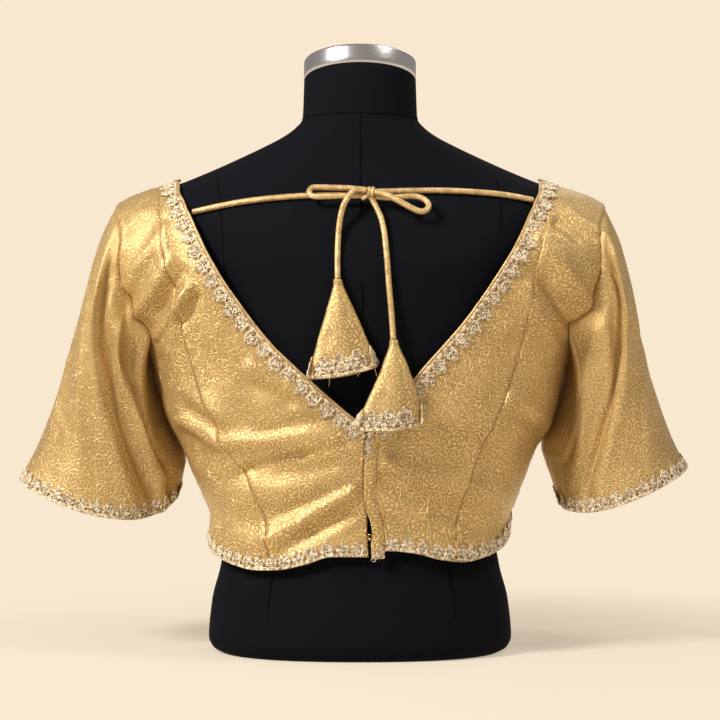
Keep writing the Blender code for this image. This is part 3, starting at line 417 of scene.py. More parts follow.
def cloth_point(side: Side, turn: Array, height: Array, out: Value = 0.0, fine: bool = False) -> Array:
    """Points of the blouse's cloth on one side, moved outwards by out.

    Args:
        side: The half.
        turn: Turns from the side seam; past -90 they lie on the other half.
        height: Heights.
        out: Distances outwards from the cloth's middle.
        fine: Whether the small creases are added.

    Returns:
        The points, in millimetres.
    """
    turn, height = np.broadcast_arrays(np.asarray(turn, float), np.asarray(height, float))
    crossed, turn = turn < -90, folded(turn)
    point, normal = BLOUSE.point(turn, height), BLOUSE.normal(turn, height)
    other = Side(-side.value)
    table = MAIN_FOLDS + FINE_FOLDS if fine else MAIN_FOLDS
    rises = [
        fold_rise(half, face, point[..., 0], height, table) for half in (side, other) for face in Face
    ]
    own = np.where(turn < 0, rises[0], rises[1])
    lift = np.where(crossed, np.where(turn < 0, rises[2], rises[3]), own) * np.minimum(1, np.abs(turn) / 12)
    point = point + normal * (lift + out)[..., None]
    point[..., 0] *= np.where(crossed, other.value, side.value)
    return point


def cloth_normal(side: Side, turn: Array, height: Array) -> Array:
    """The outward directions of the blouse's cloth on one side."""
    return BLOUSE.normal(turn, height) * (side.value, 1, 1)


def ridge_height(out: float) -> float:
    """Height of the shoulder seam this far out from the middle."""
    low, high = BLOUSE_ROWS[-7][0], BLOUSE_ROWS[-1][0]
    for _ in range(30):
        height = (low + high) / 2
        if BLOUSE_LEVELS.at("half_width", height) > out:
            low = height
        else:
            high = height
    return height


def uneven(points: Array, size: float, seed: float = 0.0) -> Array:
    """Smooth noise between -1 and 1 at points in millimetres, with lumps of this size."""
    flat = points.reshape(-1, 3) / size + seed
    values = [noise.noise(Vector(place)) for place in flat]
    return np.array(values).reshape(points.shape[:-1])


# Meshes
def link(name: str, data: bpy.types.ID) -> Piece:
    """Puts an object in the scene."""
    made = bpy.data.objects.new(name, data)
    bpy.context.scene.collection.objects.link(made)
    return made


def grid_mesh(
    name: str, points: Array, flat: Array | None = None, outward: Array | None = None, ring: bool = False
) -> Mesh:
    """A mesh of quads on a grid of points.

    Args:
        name: The mesh's name.
        points: Rows by columns of points, in millimetres.
        flat: Each point's place on the flat cloth, in metres, for the UV map.
        outward: Directions that the faces are to point along.
        ring: Whether the last column is the first again.

    Returns:
        The mesh, in metres.
    """
    rows, columns = points.shape[:2]
    span = columns - 1 if ring else columns
    index = np.arange(rows * span).reshape(rows, span)
    if ring:
        index = np.hstack([index, index[:, :1]])
    corners = [(0, 0), (0, 1), (1, 1), (1, 0)]
    quads = np.stack([
        index[r:rows - 1 + r, c:columns - 1 + c] for r, c in corners
    ], axis=-1).reshape(-1, 4)
    if outward is not None:
        a, b, d = points[:-1, :-1], points[:-1, 1:], points[1:, :-1]
        if (np.cross(b - a, d - a) * outward[:-1, :-1]).sum() < 0:
            corners.reverse()
            quads = quads[:, ::-1]
    mesh = bpy.data.meshes.new(name)
    mesh.from_pydata((points[:, :span].reshape(-1, 3) * MM).tolist(), [], quads.tolist())
    if flat is not None:
        layer = mesh.uv_layers.new(name="cloth")
        laid = np.stack([
            flat[r:rows - 1 + r, c:columns - 1 + c] for r, c in corners
        ], axis=-2).reshape(-1, 2)
        layer.data.foreach_set("uv", laid.astype(np.float32).ravel())
    mesh.shade_smooth()
    return mesh


def weld(mesh: Mesh, near: float = 0.00002) -> None:
    """Joins corners that lie on each other."""
    shape = bmesh.new()
    shape.from_mesh(mesh)
    bmesh.ops.remove_doubles(shape, verts=shape.verts, dist=near)
    shape.to_mesh(mesh)
    shape.free()


def join_meshes(name: str, meshes: Sequence[Mesh]) -> Mesh:
    """One mesh of several; the several are removed."""
    shape = bmesh.new()
    for mesh in meshes:
        shape.from_mesh(mesh)
        bpy.data.meshes.remove(mesh)
    joined = bpy.data.meshes.new(name)
    shape.to_mesh(joined)
    shape.free()
    return joined


def travelled(points: Array, axis: int) -> Array:
    """Distances travelled along one axis of a grid of points, from its start."""
    steps = np.linalg.norm(np.diff(points, axis=axis), axis=-1)
    start = np.zeros_like(np.take(steps, [0], axis=axis))
    return np.cumsum(np.concatenate([start, steps], axis=axis), axis=axis)


def resample(path: Array, step: float, ring: bool = False) -> tuple[Array, Array]:
    """Places spread evenly along a path of points.

    Args:
        path: The points; extra columns ride along.
        step: About how far apart the places are.
        ring: Whether the path closes on itself.

    Returns:
        The places, and their shares of the way along the path.
    """
    if ring:
        path = np.vstack([path, path[:1]])
    way = travelled(path[:, :3], 0)
    count = max(2, round(way[-1] / step))
    at = np.linspace(0, way[-1], count + 1)
    if ring:
        at = at[:-1]
    return np.stack([np.interp(at, way, column) for column in path.T], axis=-1), at / way[-1]


def frames_along(path: Array, ring: bool = False) -> tuple[Array, Array, Array]:
    """Untwisted frames along a path: its directions, and two directions across it."""
    ahead = np.roll(path, -1, axis=0) - np.roll(path, 1, axis=0)
    if not ring:
        ahead[0], ahead[-1] = path[1] - path[0], path[-1] - path[-2]
    ahead = unit(ahead)
    first = np.cross(ahead[0], (0.0, 0.3, 1.0))
    sides = [first / np.linalg.norm(first)]
    for direction in ahead[1:]:
        side = sides[-1] - direction * sides[-1].dot(direction)
        sides.append(side / np.linalg.norm(side))
    side = np.array(sides)
    return ahead, side, np.cross(ahead, side)


# A tube's rounded end: how far out its rings lie and how wide they are, in radii
END_REACH, END_WIDTH = (0.38, 0.3, 0.18), np.array((0.02, 0.55, 0.86))


def tube_mesh(name: str, path: Array, radius: Value, sides: int = 12, ring: bool = False) -> Mesh:
    """A round tube along a path, with rounded closed ends unless it is a ring.

    Args:
        name: The mesh's name.
        path: Points, in millimetres.
        radius: The tube's radius, one or one for each point.
        sides: Faces around it.
        ring: Whether the path closes on itself.

    Returns:
        The mesh, with the way along and around in its UV map, in metres.
    """
    radius = np.broadcast_to(np.asarray(radius, float), len(path)).copy()
    if not ring:
        tip = radius[[0, -1]]
        start, end = unit(path[0] - path[1]), unit(path[-1] - path[-2])
        before = [path[0] + start * tip[0] * reach for reach in END_REACH]
        after = [path[-1] + end * tip[1] * reach for reach in END_REACH[::-1]]
        path = np.vstack([before, path, after])
        radius = np.concatenate([tip[0] * END_WIDTH, radius, tip[1] * END_WIDTH[::-1]])
    else:
        path, radius = np.vstack([path, path[:1]]), np.append(radius, radius[0])
    ahead, side, up = frames_along(path)
    if ring:
        twist = math.atan2(side[-1].dot(up[0]), side[-1].dot(side[0]))
        turn = -twist * np.linspace(0, 1, len(path))[:, None]
        side, up = side * np.cos(turn) + up * np.sin(turn), up * np.cos(turn) - side * np.sin(turn)
        side[-1], up[-1] = side[0], up[0]
    angle = np.linspace(0, 2 * np.pi, sides + 1)
    out = side[:, None] * np.cos(angle)[None, :, None] + up[:, None] * np.sin(angle)[None, :, None]
    points = path[:, None] + out * radius[:, None, None]
    flat = columns(travelled(path, 0)[:, None] * MM, (angle * radius.max() * MM)[None, :])
    mesh = grid_mesh(name, points, flat, out, ring=True)
    weld(mesh, 0.00006 if not ring else 0.00002)
    return mesh


def ball_mesh(
    name: str, centre: Array, half: Sequence[float], power: float = 1.0, around: int = 16
) -> Mesh:
    """A rounded bead.

    Args:
        name: The mesh's name.
        centre: Its centre, in millimetres.
        half: Its half sizes.
        power: 1 for an ellipsoid, less for a boxier bead.
        around: Faces around it.

    Returns:
        The mesh, in metres.
    """
    turn, rise = np.meshgrid(
        np.linspace(0, 2 * np.pi, around + 1), np.linspace(-np.pi / 2, np.pi / 2, around // 2 + 1)
    )
    ball = columns(np.cos(turn) * np.cos(rise), np.sin(turn) * np.cos(rise), np.sin(rise))
    shaped = np.sign(ball) * np.abs(ball) ** power * half
    flat = columns(turn, rise) * max(half) * MM
    mesh = grid_mesh(name, shaped + centre, flat, ball, ring=True)
    weld(mesh)
    return mesh


def thicken(piece: Piece, thickness: float) -> None:
    """Gives a sheet its wall, half of it to each side, and applies it."""
    wall = piece.modifiers.new("wall", "SOLIDIFY")
    wall.thickness = thickness * MM
    wall.offset = 0
    bake(piece)


def bake(piece: Piece) -> None:
    """Turns a piece's modifiers into its plain mesh."""
    made = bpy.data.meshes.new_from_object(piece.evaluated_get(bpy.context.evaluated_depsgraph_get()))
    old = piece.data
    piece.modifiers.clear()
    piece.data = made
    made.name = piece.name
    bpy.data.meshes.remove(old)


def log_area(name: str, mesh: Mesh) -> None:
    """Reports how large a cloth came out."""
    LOG.info("%s: surface %.4f m2", name, sum(face.area for face in mesh.polygons))


def dress(piece: Piece, finish: Material, slot: Slot, *nodes: str) -> Piece:
    """Gives a piece its finish, lets it ride on the body and stand for its CAD nodes.

    Args:
        piece: The piece.
        finish: Its material.
        slot: Not used.
        nodes: The CAD nodes that it replaces.

    Returns:
        The piece.
    """
    if not piece.data.materials:
        piece.data.materials.append(finish)
    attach(piece, BODY)
    if nodes:
        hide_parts(*nodes)
    faces = len(piece.data.polygons) if piece.type == "MESH" else 0
    LOG.info("%s: %d faces", piece.name, faces)
    return piece


# Node trees
class Wire:
    """A node's output, which sums can be written on."""

    def __init__(self, graph: Graph, socket: bpy.types.NodeSocket) -> None:
        """Takes the tree and the output."""
        self.graph, self.socket = graph, socket

    def _sum(self, kind: str, first: Value, second: Value) -> Wire:
        """A sum of two values, as numbers or as vectors."""
        vector = any(isinstance(w, Wire) and w.socket.type == "VECTOR" for w in (first, second))
        return self.graph.vector(kind, first, second) if vector else self.graph.math(kind, first, second)

    def __add__(self, other: Value) -> Wire:
        """The sum."""
        return self._sum("ADD", self, other)

    def __sub__(self, other: Value) -> Wire:
        """The difference."""
        return self._sum("SUBTRACT", self, other)

    def __rsub__(self, other: Value) -> Wire:
        """The difference from a number."""
        return self._sum("SUBTRACT", other, self)

    def __mul__(self, other: Value) -> Wire:
        """The product."""
        return self._sum("MULTIPLY", self, other)

    __radd__, __rmul__ = __add__, __mul__


class Graph:
    """Builds a tree of nodes."""

    def __init__(self, tree: bpy.types.NodeTree) -> None:
        """Takes the tree."""
        self.tree = tree

    def add(self, kind: str, feeds: dict[Value, Value] | None = None, **settings: Value) -> Shader:
        """Adds a node.

        Args:
            kind: The node's type.
            feeds: What each input gets, by its name or number.
            settings: The node's own settings.

        Returns:
            The node.
        """
        node = self.tree.nodes.new(kind)
        for name, value in settings.items():
            setattr(node, name, value)
        for name, value in (feeds or {}).items():
            self.feed(node.inputs[name], value)
        return node

    def feed(self, socket: bpy.types.NodeSocket, value: Value) -> None:
        """Links a wire to an input, or sets the input's own value."""
        if isinstance(value, Wire):
            self.tree.links.new(value.socket, socket)
        elif isinstance(value, (int, float, str, bool)) or not hasattr(value, "__len__"):
            socket.default_value = (value,) * 3 if socket.type == "VECTOR" else value
        else:
            socket.default_value = value

    def wire(self, node: Shader, output: Value = 0) -> Wire:
        """One of a node's outputs."""
        return Wire(self, node.outputs[output])

    def get(
        self, kind: str, feeds: dict[Value, Value] | None = None, output: Value = 0, **settings: Value
    ) -> Wire:
        """Adds a node and gives one of its outputs."""
        return self.wire(self.add(kind, feeds, **settings), output)

    def math(self, kind: str, *values: Value) -> Wire:
        """A Math node's result."""
        return self.get("ShaderNodeMath", dict(enumerate(values)), operation=kind)

    def vector(self, kind: str, *values: Value, output: str = "Vector") -> Wire:
        """A Vector Math node's result."""
        return self.get("ShaderNodeVectorMath", dict(enumerate(values)), output, operation=kind)

    def parts(self, vector: Wire) -> tuple[Wire, Wire, Wire]:
        """The vector's X, Y and Z."""
        node = self.add("ShaderNodeSeparateXYZ", {0: vector})
        return self.wire(node, 0), self.wire(node, 1), self.wire(node, 2)

    def join(self, x: Value, y: Value, z: Value = 0.0) -> Wire:
        """A vector of three numbers."""
        return self.get("ShaderNodeCombineXYZ", {0: x, 1: y, 2: z})

    def step(self, value: Wire, low: float, high: float) -> Wire:
        """A smooth step from 0 at low to 1 at high."""
        return self.get(
            "ShaderNodeMapRange", {0: value, 1: low, 2: high}, interpolation_type="SMOOTHSTEP"
        )

    def clouds(self, place: Wire, scale: float, detail: float = 2.0, warp: float = 0.0) -> Wire:
        """Noise of this many lumps a metre."""
        return self.get(
            "ShaderNodeTexNoise", {"Vector": place, "Scale": scale, "Detail": detail, "Distortion": warp}
        )

    def blend(self, share: Value, low: Value, high: Value) -> Wire:
        """A colour this share of the way from low to high."""
        return self.get("ShaderNodeMix", {0: share, 6: low, 7: high}, 2, data_type="RGBA")

    def gather(self, *parts: Wire) -> Wire:
        """Several geometries as one."""
        node = self.add("GeometryNodeJoinGeometry")
        for part in parts:
            self.tree.links.new(part.socket, node.inputs[0])
        return self.wire(node)

    def transform(self, part: Wire, **how: Wire) -> Wire:
        """The geometry moved or scaled."""
        return self.get("GeometryNodeTransform", {0: part, **how})


Colour = tuple[float, float, float, float]
FULL_TURN = 6.283


@dataclass(frozen=True)
class Finish:
    """A finish: a material made of nodes."""

    name: str
    colour: Colour
    roughness: float = 0.5
    metallic: float = 0.0

    def material(self) -> Material:
        """The material, made on first use."""
        found = bpy.data.materials.get(self.name)
        if found:
            return found
        made = bpy.data.materials.new(self.name)
        made.use_nodes = True
        shader = made.node_tree.nodes["Principled BSDF"]
        shader.inputs["Base Color"].default_value = self.colour
        shader.inputs["Roughness"].default_value = self.roughness
        shader.inputs["Metallic"].default_value = self.metallic
        self.weave(Graph(made.node_tree), shader)
        return made

    def weave(self, graph: Graph, shader: Shader) -> None:
        """Adds the finish's own nodes."""

    def uv(self, graph: Graph) -> Wire:
        """The place on the flat cloth, in metres."""
        return graph.get("ShaderNodeUVMap", uv_map="cloth")

    def place(self, graph: Graph) -> Wire:
        """The place in the object, in metres."""
        return graph.get("ShaderNodeTexCoord", output="Object")

    def bump(self, graph: Graph, shader: Shader, height: Wire, depth: float, strength: float) -> None:
        """Raises the surface by height times a depth in metres."""
        raised = graph.get("ShaderNodeBump", {"Height": height, "Distance": depth, "Strength": strength})
        graph.feed(shader.inputs["Normal"], raised)

    def paint(self, graph: Graph, shader: Shader, colour: Wire, roughness: Wire) -> None:
        """Gives the surface its colour and its roughness."""
        graph.feed(shader.inputs["Base Color"], colour)
        graph.feed(shader.inputs["Roughness"], roughness)


@dataclass(frozen=True)
class Brocade(Finish):
    """Satin brocade: light outlines of roses and leaves on a darker gold ground."""

    outline: Colour = (0.89, 0.655, 0.31, 1)
    # The shade colour is painted shade, laid over the ground in broad random patches.
    shade: Colour = (0.32, 0.178, 0.042, 1)
    rose: float = 0.0196
    line: float = 0.10
    fade: float = 0.12
    scatter: float = 0.62

    def petals(
        self, graph: Graph, place: Wire, size: float, lobes: float, rings: float
    ) -> tuple[Wire, Wire]:
        """Broken whorls of petals round scattered centres.

        Args:
            graph: The tree.
            place: The place on the cloth.
            size: How far apart the centres are, in metres.
            lobes: Petals in a whorl.
            rings: Whorls in one size.

        Returns:
            The lines, and the distance from the nearest centre in sizes.
        """
        scaled = graph.vector("MULTIPLY", place, (1 / size, 1 / size, 0))
        settings = {"Vector": scaled, "Scale": 1.0, "Randomness": self.scatter}
        cells = graph.add("ShaderNodeTexVoronoi", settings, voronoi_dimensions="2D")
        away = scaled - graph.wire(cells, "Position")
        x, y, _ = graph.parts(away)
        chance = graph.parts(graph.wire(cells, "Color"))[0]
        radius = graph.vector("LENGTH", away, output="Value")
        angle = graph.math("ARCTAN2", y, x) + chance * FULL_TURN
        ring = graph.math("FLOOR", radius * rings - 0.25)
        lobe = graph.math("ABSOLUTE", graph.math("SINE", angle * (lobes / 2) + ring * 1.9))
        reach = graph.math("FRACT", radius * rings - lobe * 0.5 + chance)
        edge = graph.math("ABSOLUTE", reach - 0.5)
        return 1 - graph.step(edge, self.line, self.line + self.fade), radius

    def weave(self, graph: Graph, shader: Shader) -> None:
        """Adds the pattern, the thread, painted glints along the weft and patches of painted shade."""
        place = self.uv(graph)
        drift = graph.clouds(place, 60, 1)
        bent = place + (drift - 0.5) * 0.004
        rose, radius = self.petals(graph, bent, self.rose, 5, 6.4)
        leaf, _ = self.petals(graph, bent + 0.013, self.rose * 0.46, 3, 3.4)
        between = graph.step(radius, 0.44, 0.56)
        lines = rose * (1 - between) + leaf * between
        broken = graph.step(graph.clouds(place, 260, 2), 0.36, 0.5)
        lines = lines * (broken * 0.5 + 0.5)
        u, v, _ = graph.parts(place)
        thread = graph.math("SINE", u * 9000) * graph.math("SINE", v * 7400)
        glint_streaks = graph.clouds(graph.join(u * 0.35, v), 1500, 1)
        # Painted shade: broad random patches where the ground turns to the darker shade colour.
        soft = graph.clouds(place, 24, 2)
        ground = graph.blend(graph.step(soft, 0.3, 0.75), self.shade, self.colour)
        # Painted glints: streaks along the weft lighten the ground towards the outline colour; they also
        # lower the roughness and raise the bump.
        lit = graph.blend(graph.step(glint_streaks, 0.25, 0.75) * 0.35, ground, self.outline)
        cloth = graph.blend(lines, lit, self.outline)
        self.paint(graph, shader, cloth, 0.46 - lines * 0.13 - glint_streaks * 0.08)
        graph.feed(shader.inputs["Metallic"], 0.42 + lines * 0.3)
        self.bump(graph, shader, lines + thread * 0.14 + glint_streaks * 0.38, 0.00031, 0.8)


@dataclass(frozen=True)
class Satin(Finish):
    """Gold satin on a cord or piping: bias threads, painted glints and shade, and one seam along it."""

    # The shade colour is painted shade, for random patches and for the seam's groove.
    shade: Colour = (0.47, 0.29, 0.10, 1)
    seam: float = 0.0006

    def weave(self, graph: Graph, shader: Shader) -> None:
        """Adds threads, painted glints, painted shade in patches and the seam, painted darker."""
        u, v, _ = graph.parts(self.uv(graph))
        bias = graph.math("SINE", u * 3800 + v * 3800)
        glint = graph.clouds(graph.join(u, v * 1.6), 520, 2, 0.6)
        patch = graph.clouds(graph.join(u, v), 150, 2)
        wrap = graph.math("ABSOLUTE", graph.math("SINE", u * 330 + v * 200))
        seam = 1 - graph.step(graph.math("ABSOLUTE", v - 0.011), 0, self.seam)
        # Painted shade: random patches of the darker shade colour.
        tone = graph.blend(graph.step(patch, 0.32, 0.68), self.shade, self.colour)
        # Painted glints: streaks turn the colour towards a pale gold.
        bright = graph.blend(graph.step(glint, 0.5, 0.72) * 0.75, tone, (0.95, 0.78, 0.5, 1))
        # The seam line is painted darker with the shade colour, as painted shade in its groove.
        self.paint(graph, shader, graph.blend(seam * 0.6, bright, self.shade), 0.5 - glint * 0.2)
        self.bump(graph, shader, glint + bias * 0.15 + wrap * 0.4 - seam * 1.2, 0.0004, 0.8)


@dataclass(frozen=True)
class Twine(Finish):
    """Ivory and silver thread of the lace, twisted."""

    # The shade colour is painted shade, laid in small random patches.
    shade: Colour = (0.36, 0.25, 0.13, 1)

    def weave(self, graph: Graph, shader: Shader) -> None:
        """Adds the twist and small random patches of painted shade."""
        x, y, z = graph.parts(self.place(graph))
        twist = graph.math("SINE", (x + y * 0.7 + z) * 5200)
        patch = graph.clouds(self.place(graph), 420, 2)
        # Painted shade: random patches where the thread turns to the darker shade colour.
        tone = graph.blend(graph.step(patch, 0.38, 0.62), self.shade, self.colour)
        self.paint(graph, shader, tone, 0.34 + patch * 0.2)
        self.bump(graph, shader, twist, 0.00012, 0.7)


@dataclass(frozen=True)
class Jersey(Finish):
    """Matt knitted jersey of the dress form."""

    def weave(self, graph: Graph, shader: Shader) -> None:
        """Adds the knit's rows and a little lint."""
        place = self.place(graph)
        u, v, _ = graph.parts(self.uv(graph))
        wale = graph.math("SINE", u * 5000)
        knit = wale * graph.math("SINE", v * 4200 + wale * 0.8)
        lint = graph.clouds(place, 700, 2)
        patch = graph.clouds(place, 9, 2)
        lighter = tuple(value * 1.5 for value in self.colour[:3]) + (1,)
        tone = graph.blend(patch * 0.6 + lint * 0.25, self.colour, lighter)
        self.paint(graph, shader, tone, 0.78 + lint * 0.15)
        shader.inputs["Specular IOR Level"].default_value = 0.05
        self.bump(graph, shader, knit * 0.5 + lint, 0.00018, 0.5)


@dataclass(frozen=True)
class Brushed(Finish):
    """Brushed metal, brushed round the piece."""

    def weave(self, graph: Graph, shader: Shader) -> None:
        """Adds the brush marks."""
        x, y, z = graph.parts(self.place(graph))
        marks = graph.clouds(graph.join(x * 0.6, y * 0.6, z * 18), 130, 3)
        graph.feed(shader.inputs["Roughness"], self.roughness - 0.06 + marks * 0.12)
        self.bump(graph, shader, marks, 0.00006, 0.5)


@dataclass(frozen=True)
class Polished(Finish):
    """A polished bead or hook, slightly mottled."""

    def weave(self, graph: Graph, shader: Shader) -> None:
        """Adds the mottle."""
        mottle = graph.clouds(self.place(graph), 900, 2)
        darker = tuple(value * 0.72 for value in self.colour[:3]) + (1,)
        graph.feed(shader.inputs["Base Color"], graph.blend(mottle, darker, self.colour))
        self.bump(graph, shader, mottle, 0.0001, 0.4)


@dataclass(frozen=True)
class Paper(Finish):
    """The floor's plain pale paper, which glows as much as the sky that it doesn't send back."""

    glow: Colour = (1, 1, 1, 1)
    share: float = 0.3
    near: float = 0.20
    far: float = 0.62

    def weave(self, graph: Graph, shader: Shader) -> None:
        """Adds the glow, which is all that the paper sends back far from the form."""
        away = graph.vector("LENGTH", self.place(graph), output="Value")
        lit = 1 - graph.step(away, self.near, self.far)
        graph.feed(shader.inputs["Base Color"], graph.blend(lit, (0, 0, 0, 1), self.colour))
        shader.inputs["Emission Color"].default_value = self.glow
        graph.feed(shader.inputs["Emission Strength"], 1 - lit * self.share)
        shader.inputs["Specular IOR Level"].default_value = 0.0


BROCADE = Brocade("gold_rose_brocade", (0.455, 0.273, 0.076, 1))
PIPING = Satin("gold_satin_piping", (0.66, 0.43, 0.16, 1), 0.42, 0.45)
CORD = Satin("gold_brocade_cord", (0.74, 0.51, 0.23, 1), 0.42, 0.35)
TWINE = Twine("ivory_silver_lace_thread", (0.97, 0.83, 0.60, 1), 0.34, 0.12)
BEAD = Polished("pale_glass_bead", (0.98, 0.88, 0.70, 1), 0.15, 0.45)
AMBER = Polished("amber_bead", (0.85, 0.42, 0.05, 1), 0.15, 0.2)
BRASS = Polished("polished_brass_hook", (0.80, 0.55, 0.20, 1), 0.2, 1.0)
JERSEY = Jersey("charcoal_jersey", (0.0042, 0.0046, 0.0066, 1), 0.85)
SEAM_THREAD = Jersey("charcoal_seam_thread", (0.0016, 0.0018, 0.0026, 1), 1.0)
GOLD_THREAD = Twine("gold_sewing_thread", (0.70, 0.48, 0.20, 1), 0.5, 0.1, (0.45, 0.28, 0.09, 1))
STEEL = Brushed("brushed_steel", (0.70, 0.69, 0.69, 1), 0.24, 1.0)


# The surface that things are laid on
class ClothTree:
    """A search tree over cloth or form surfaces, in millimetres."""

    def __init__(self, meshes: Sequence[Mesh]) -> None:
        """Gathers the meshes' faces."""
        points: list[Vector] = []
        faces: list[list[int]] = []
        for mesh in meshes:
            first = len(points)
            points += [corner.co / MM for corner in mesh.vertices]
            faces += [[first + index for index in face.vertices] for face in mesh.polygons]
        self.tree = BVHTree.FromPolygons(points, faces)

    def lay(self, place: Array, outward: Array, rise: float) -> tuple[Array, Array]:
        """A place moved onto the surface and out of it by rise, with the direction out.

        Args:
            place: The place, in millimetres.
            outward: A direction on the side that it lies on.
            rise: How far out of the surface's middle.

        Returns:
            The point, and the smoothed outward direction.
        """
        nearest, normal, _, _ = self.tree.find_nearest(Vector(place))
        normals = [normal]
        for step in (Vector((2, 0, 0)), Vector((0, 2, 0)), Vector((0, 0, 2))):
            normals += [self.tree.find_nearest(nearest + step)[1], self.tree.find_nearest(nearest - step)[1]]
        total = Vector((0, 0, 0))
        side = Vector(outward)
        for each in normals:
            total += each if each.dot(side) > 0 else -each
        total.normalize()
        return np.array(nearest + total * rise), np.array(total)

    def stand(self, out: float, height: float, away: float) -> Array:
        """The point behind the surface, out and height as given, that stands this far off it."""
        near, far = -20.0, -170.0
        point = Vector((0, 0, 0))
        for _ in range(26):
            point = Vector((out, (near + far) / 2, height))
            nearest, normal, _, distance = self.tree.find_nearest(point)
            if (point - nearest).dot(normal) > 0 and distance > away:
                far = point.y
            else:
                near = point.y
        return np.array(point)


def smooth_route(points: Array, pieces: int = 12) -> Array:
    """Points on one smooth curve through a route's own points."""
    padded = np.vstack([points[0] * 2 - points[1], points, points[-1] * 2 - points[-2]])
    fine = []
    for a, b, c, d in zip(padded, padded[1:], padded[2:], padded[3:]):
        for t in np.arange(pieces) / pieces:
            bend = (c - a) * t + (a * 2 - b * 5 + c * 4 - d) * t**2 + (b * 3 - a - c * 3 + d) * t**3
            fine.append((b * 2 + bend) / 2)
    return np.array([*fine, points[-1]])


# The camera, the light and the floor
@dataclass(frozen=True)
class Studio:
    """The photograph's camera, a pale floor and soft light."""

    camera_back: float = 1.8
    camera_height: float = 0.257
    lens: float = 100.8
    sky: Colour = (0.947, 0.807, 0.630, 1)
    ambient: Colour = (1.0, 0.93, 0.84, 1)
    ambient_strength: float = 0.30
    floor_share: float = 0.50
    floor_colour: Colour = (0.73, 0.666, 0.564, 1)
    floor_half: float = 60.0
    lit_place: tuple[float, float, float] = (0, 0, 0.28)

    def set_camera(self) -> None:
        """The camera, level behind the blouse."""
        camera = link("camera", bpy.data.cameras.new("camera"))
        camera.data.lens = self.lens
        camera.data.sensor_width = 36.0
        camera.data.clip_start, camera.data.clip_end = 0.05, 100
        camera.location = (0, -self.camera_back, self.camera_height)
        camera.rotation_euler = (math.pi / 2, 0, 0)
        bpy.context.scene.camera = camera

    def set_floor(self) -> None:
        """A wide pale floor that meets the sky without a line."""
        size = self.floor_half
        mesh = bpy.data.meshes.new("floor")
        mesh.from_pydata(
            [(-size, -size, 0), (size, -size, 0), (size, size, 0), (-size, size, 0)], [], [(0, 1, 2, 3)]
        )
        paint = tuple(value * self.floor_share for value in self.floor_colour[:3]) + (1,)
        paper = Paper("pale_paper", paint, 0.9, 0.0, self.sky, self.floor_share)
        mesh.materials.append(paper.material())
        link("floor", mesh)

    def add_light(
        self, name: str, place: Sequence[float], size: float, power: float, colour: Sequence[float]
    ) -> None:
        """Adds an area light that faces the blouse.

        Args:
            name: Its name.
            place: Where it stands, in metres.
            size: The length of its side.
            power: Its power, in watts.
            colour: Its colour.
        """
        data = bpy.data.lights.new(name, "AREA")
        data.shape = "SQUARE"
        data.size = size
        data.energy = power
        data.color = colour
        light = link(name, data)
        light.location = place
        facing = Vector(self.lit_place) - Vector(place)
        light.rotation_euler = facing.to_track_quat("-Z", "Y").to_euler()

    def light_up(self) -> None:
        """The sky and the lights."""
        world = bpy.data.worlds.new("sky")
        world.use_nodes = True
        nodes, links = world.node_tree.nodes, world.node_tree.links
        seen = nodes["Background"]
        seen.inputs["Color"].default_value = self.sky
        felt = nodes.new("ShaderNodeBackground")
        felt.inputs["Color"].default_value = self.ambient
        felt.inputs["Strength"].default_value = self.ambient_strength
        either = nodes.new("ShaderNodeMixShader")
        links.new(nodes.new("ShaderNodeLightPath").outputs["Is Camera Ray"], either.inputs[0])
        links.new(felt.outputs[0], either.inputs[1])
        links.new(seen.outputs[0], either.inputs[2])
        links.new(either.outputs[0], nodes["World Output"].inputs["Surface"])
        bpy.context.scene.world = world
        bpy.context.scene.view_settings.view_transform = "Standard"
        self.add_light("key", (-1.55, -1.25, 1.7), 0.55, 73, (1.0, 0.97, 0.93))
        self.add_light("top", (1.1, -0.5, 1.8), 0.5, 13, (1.0, 0.96, 0.9))
        self.add_light("rim", (0.6, 1.6, 1.6), 0.8, 4, (1.0, 0.98, 0.95))


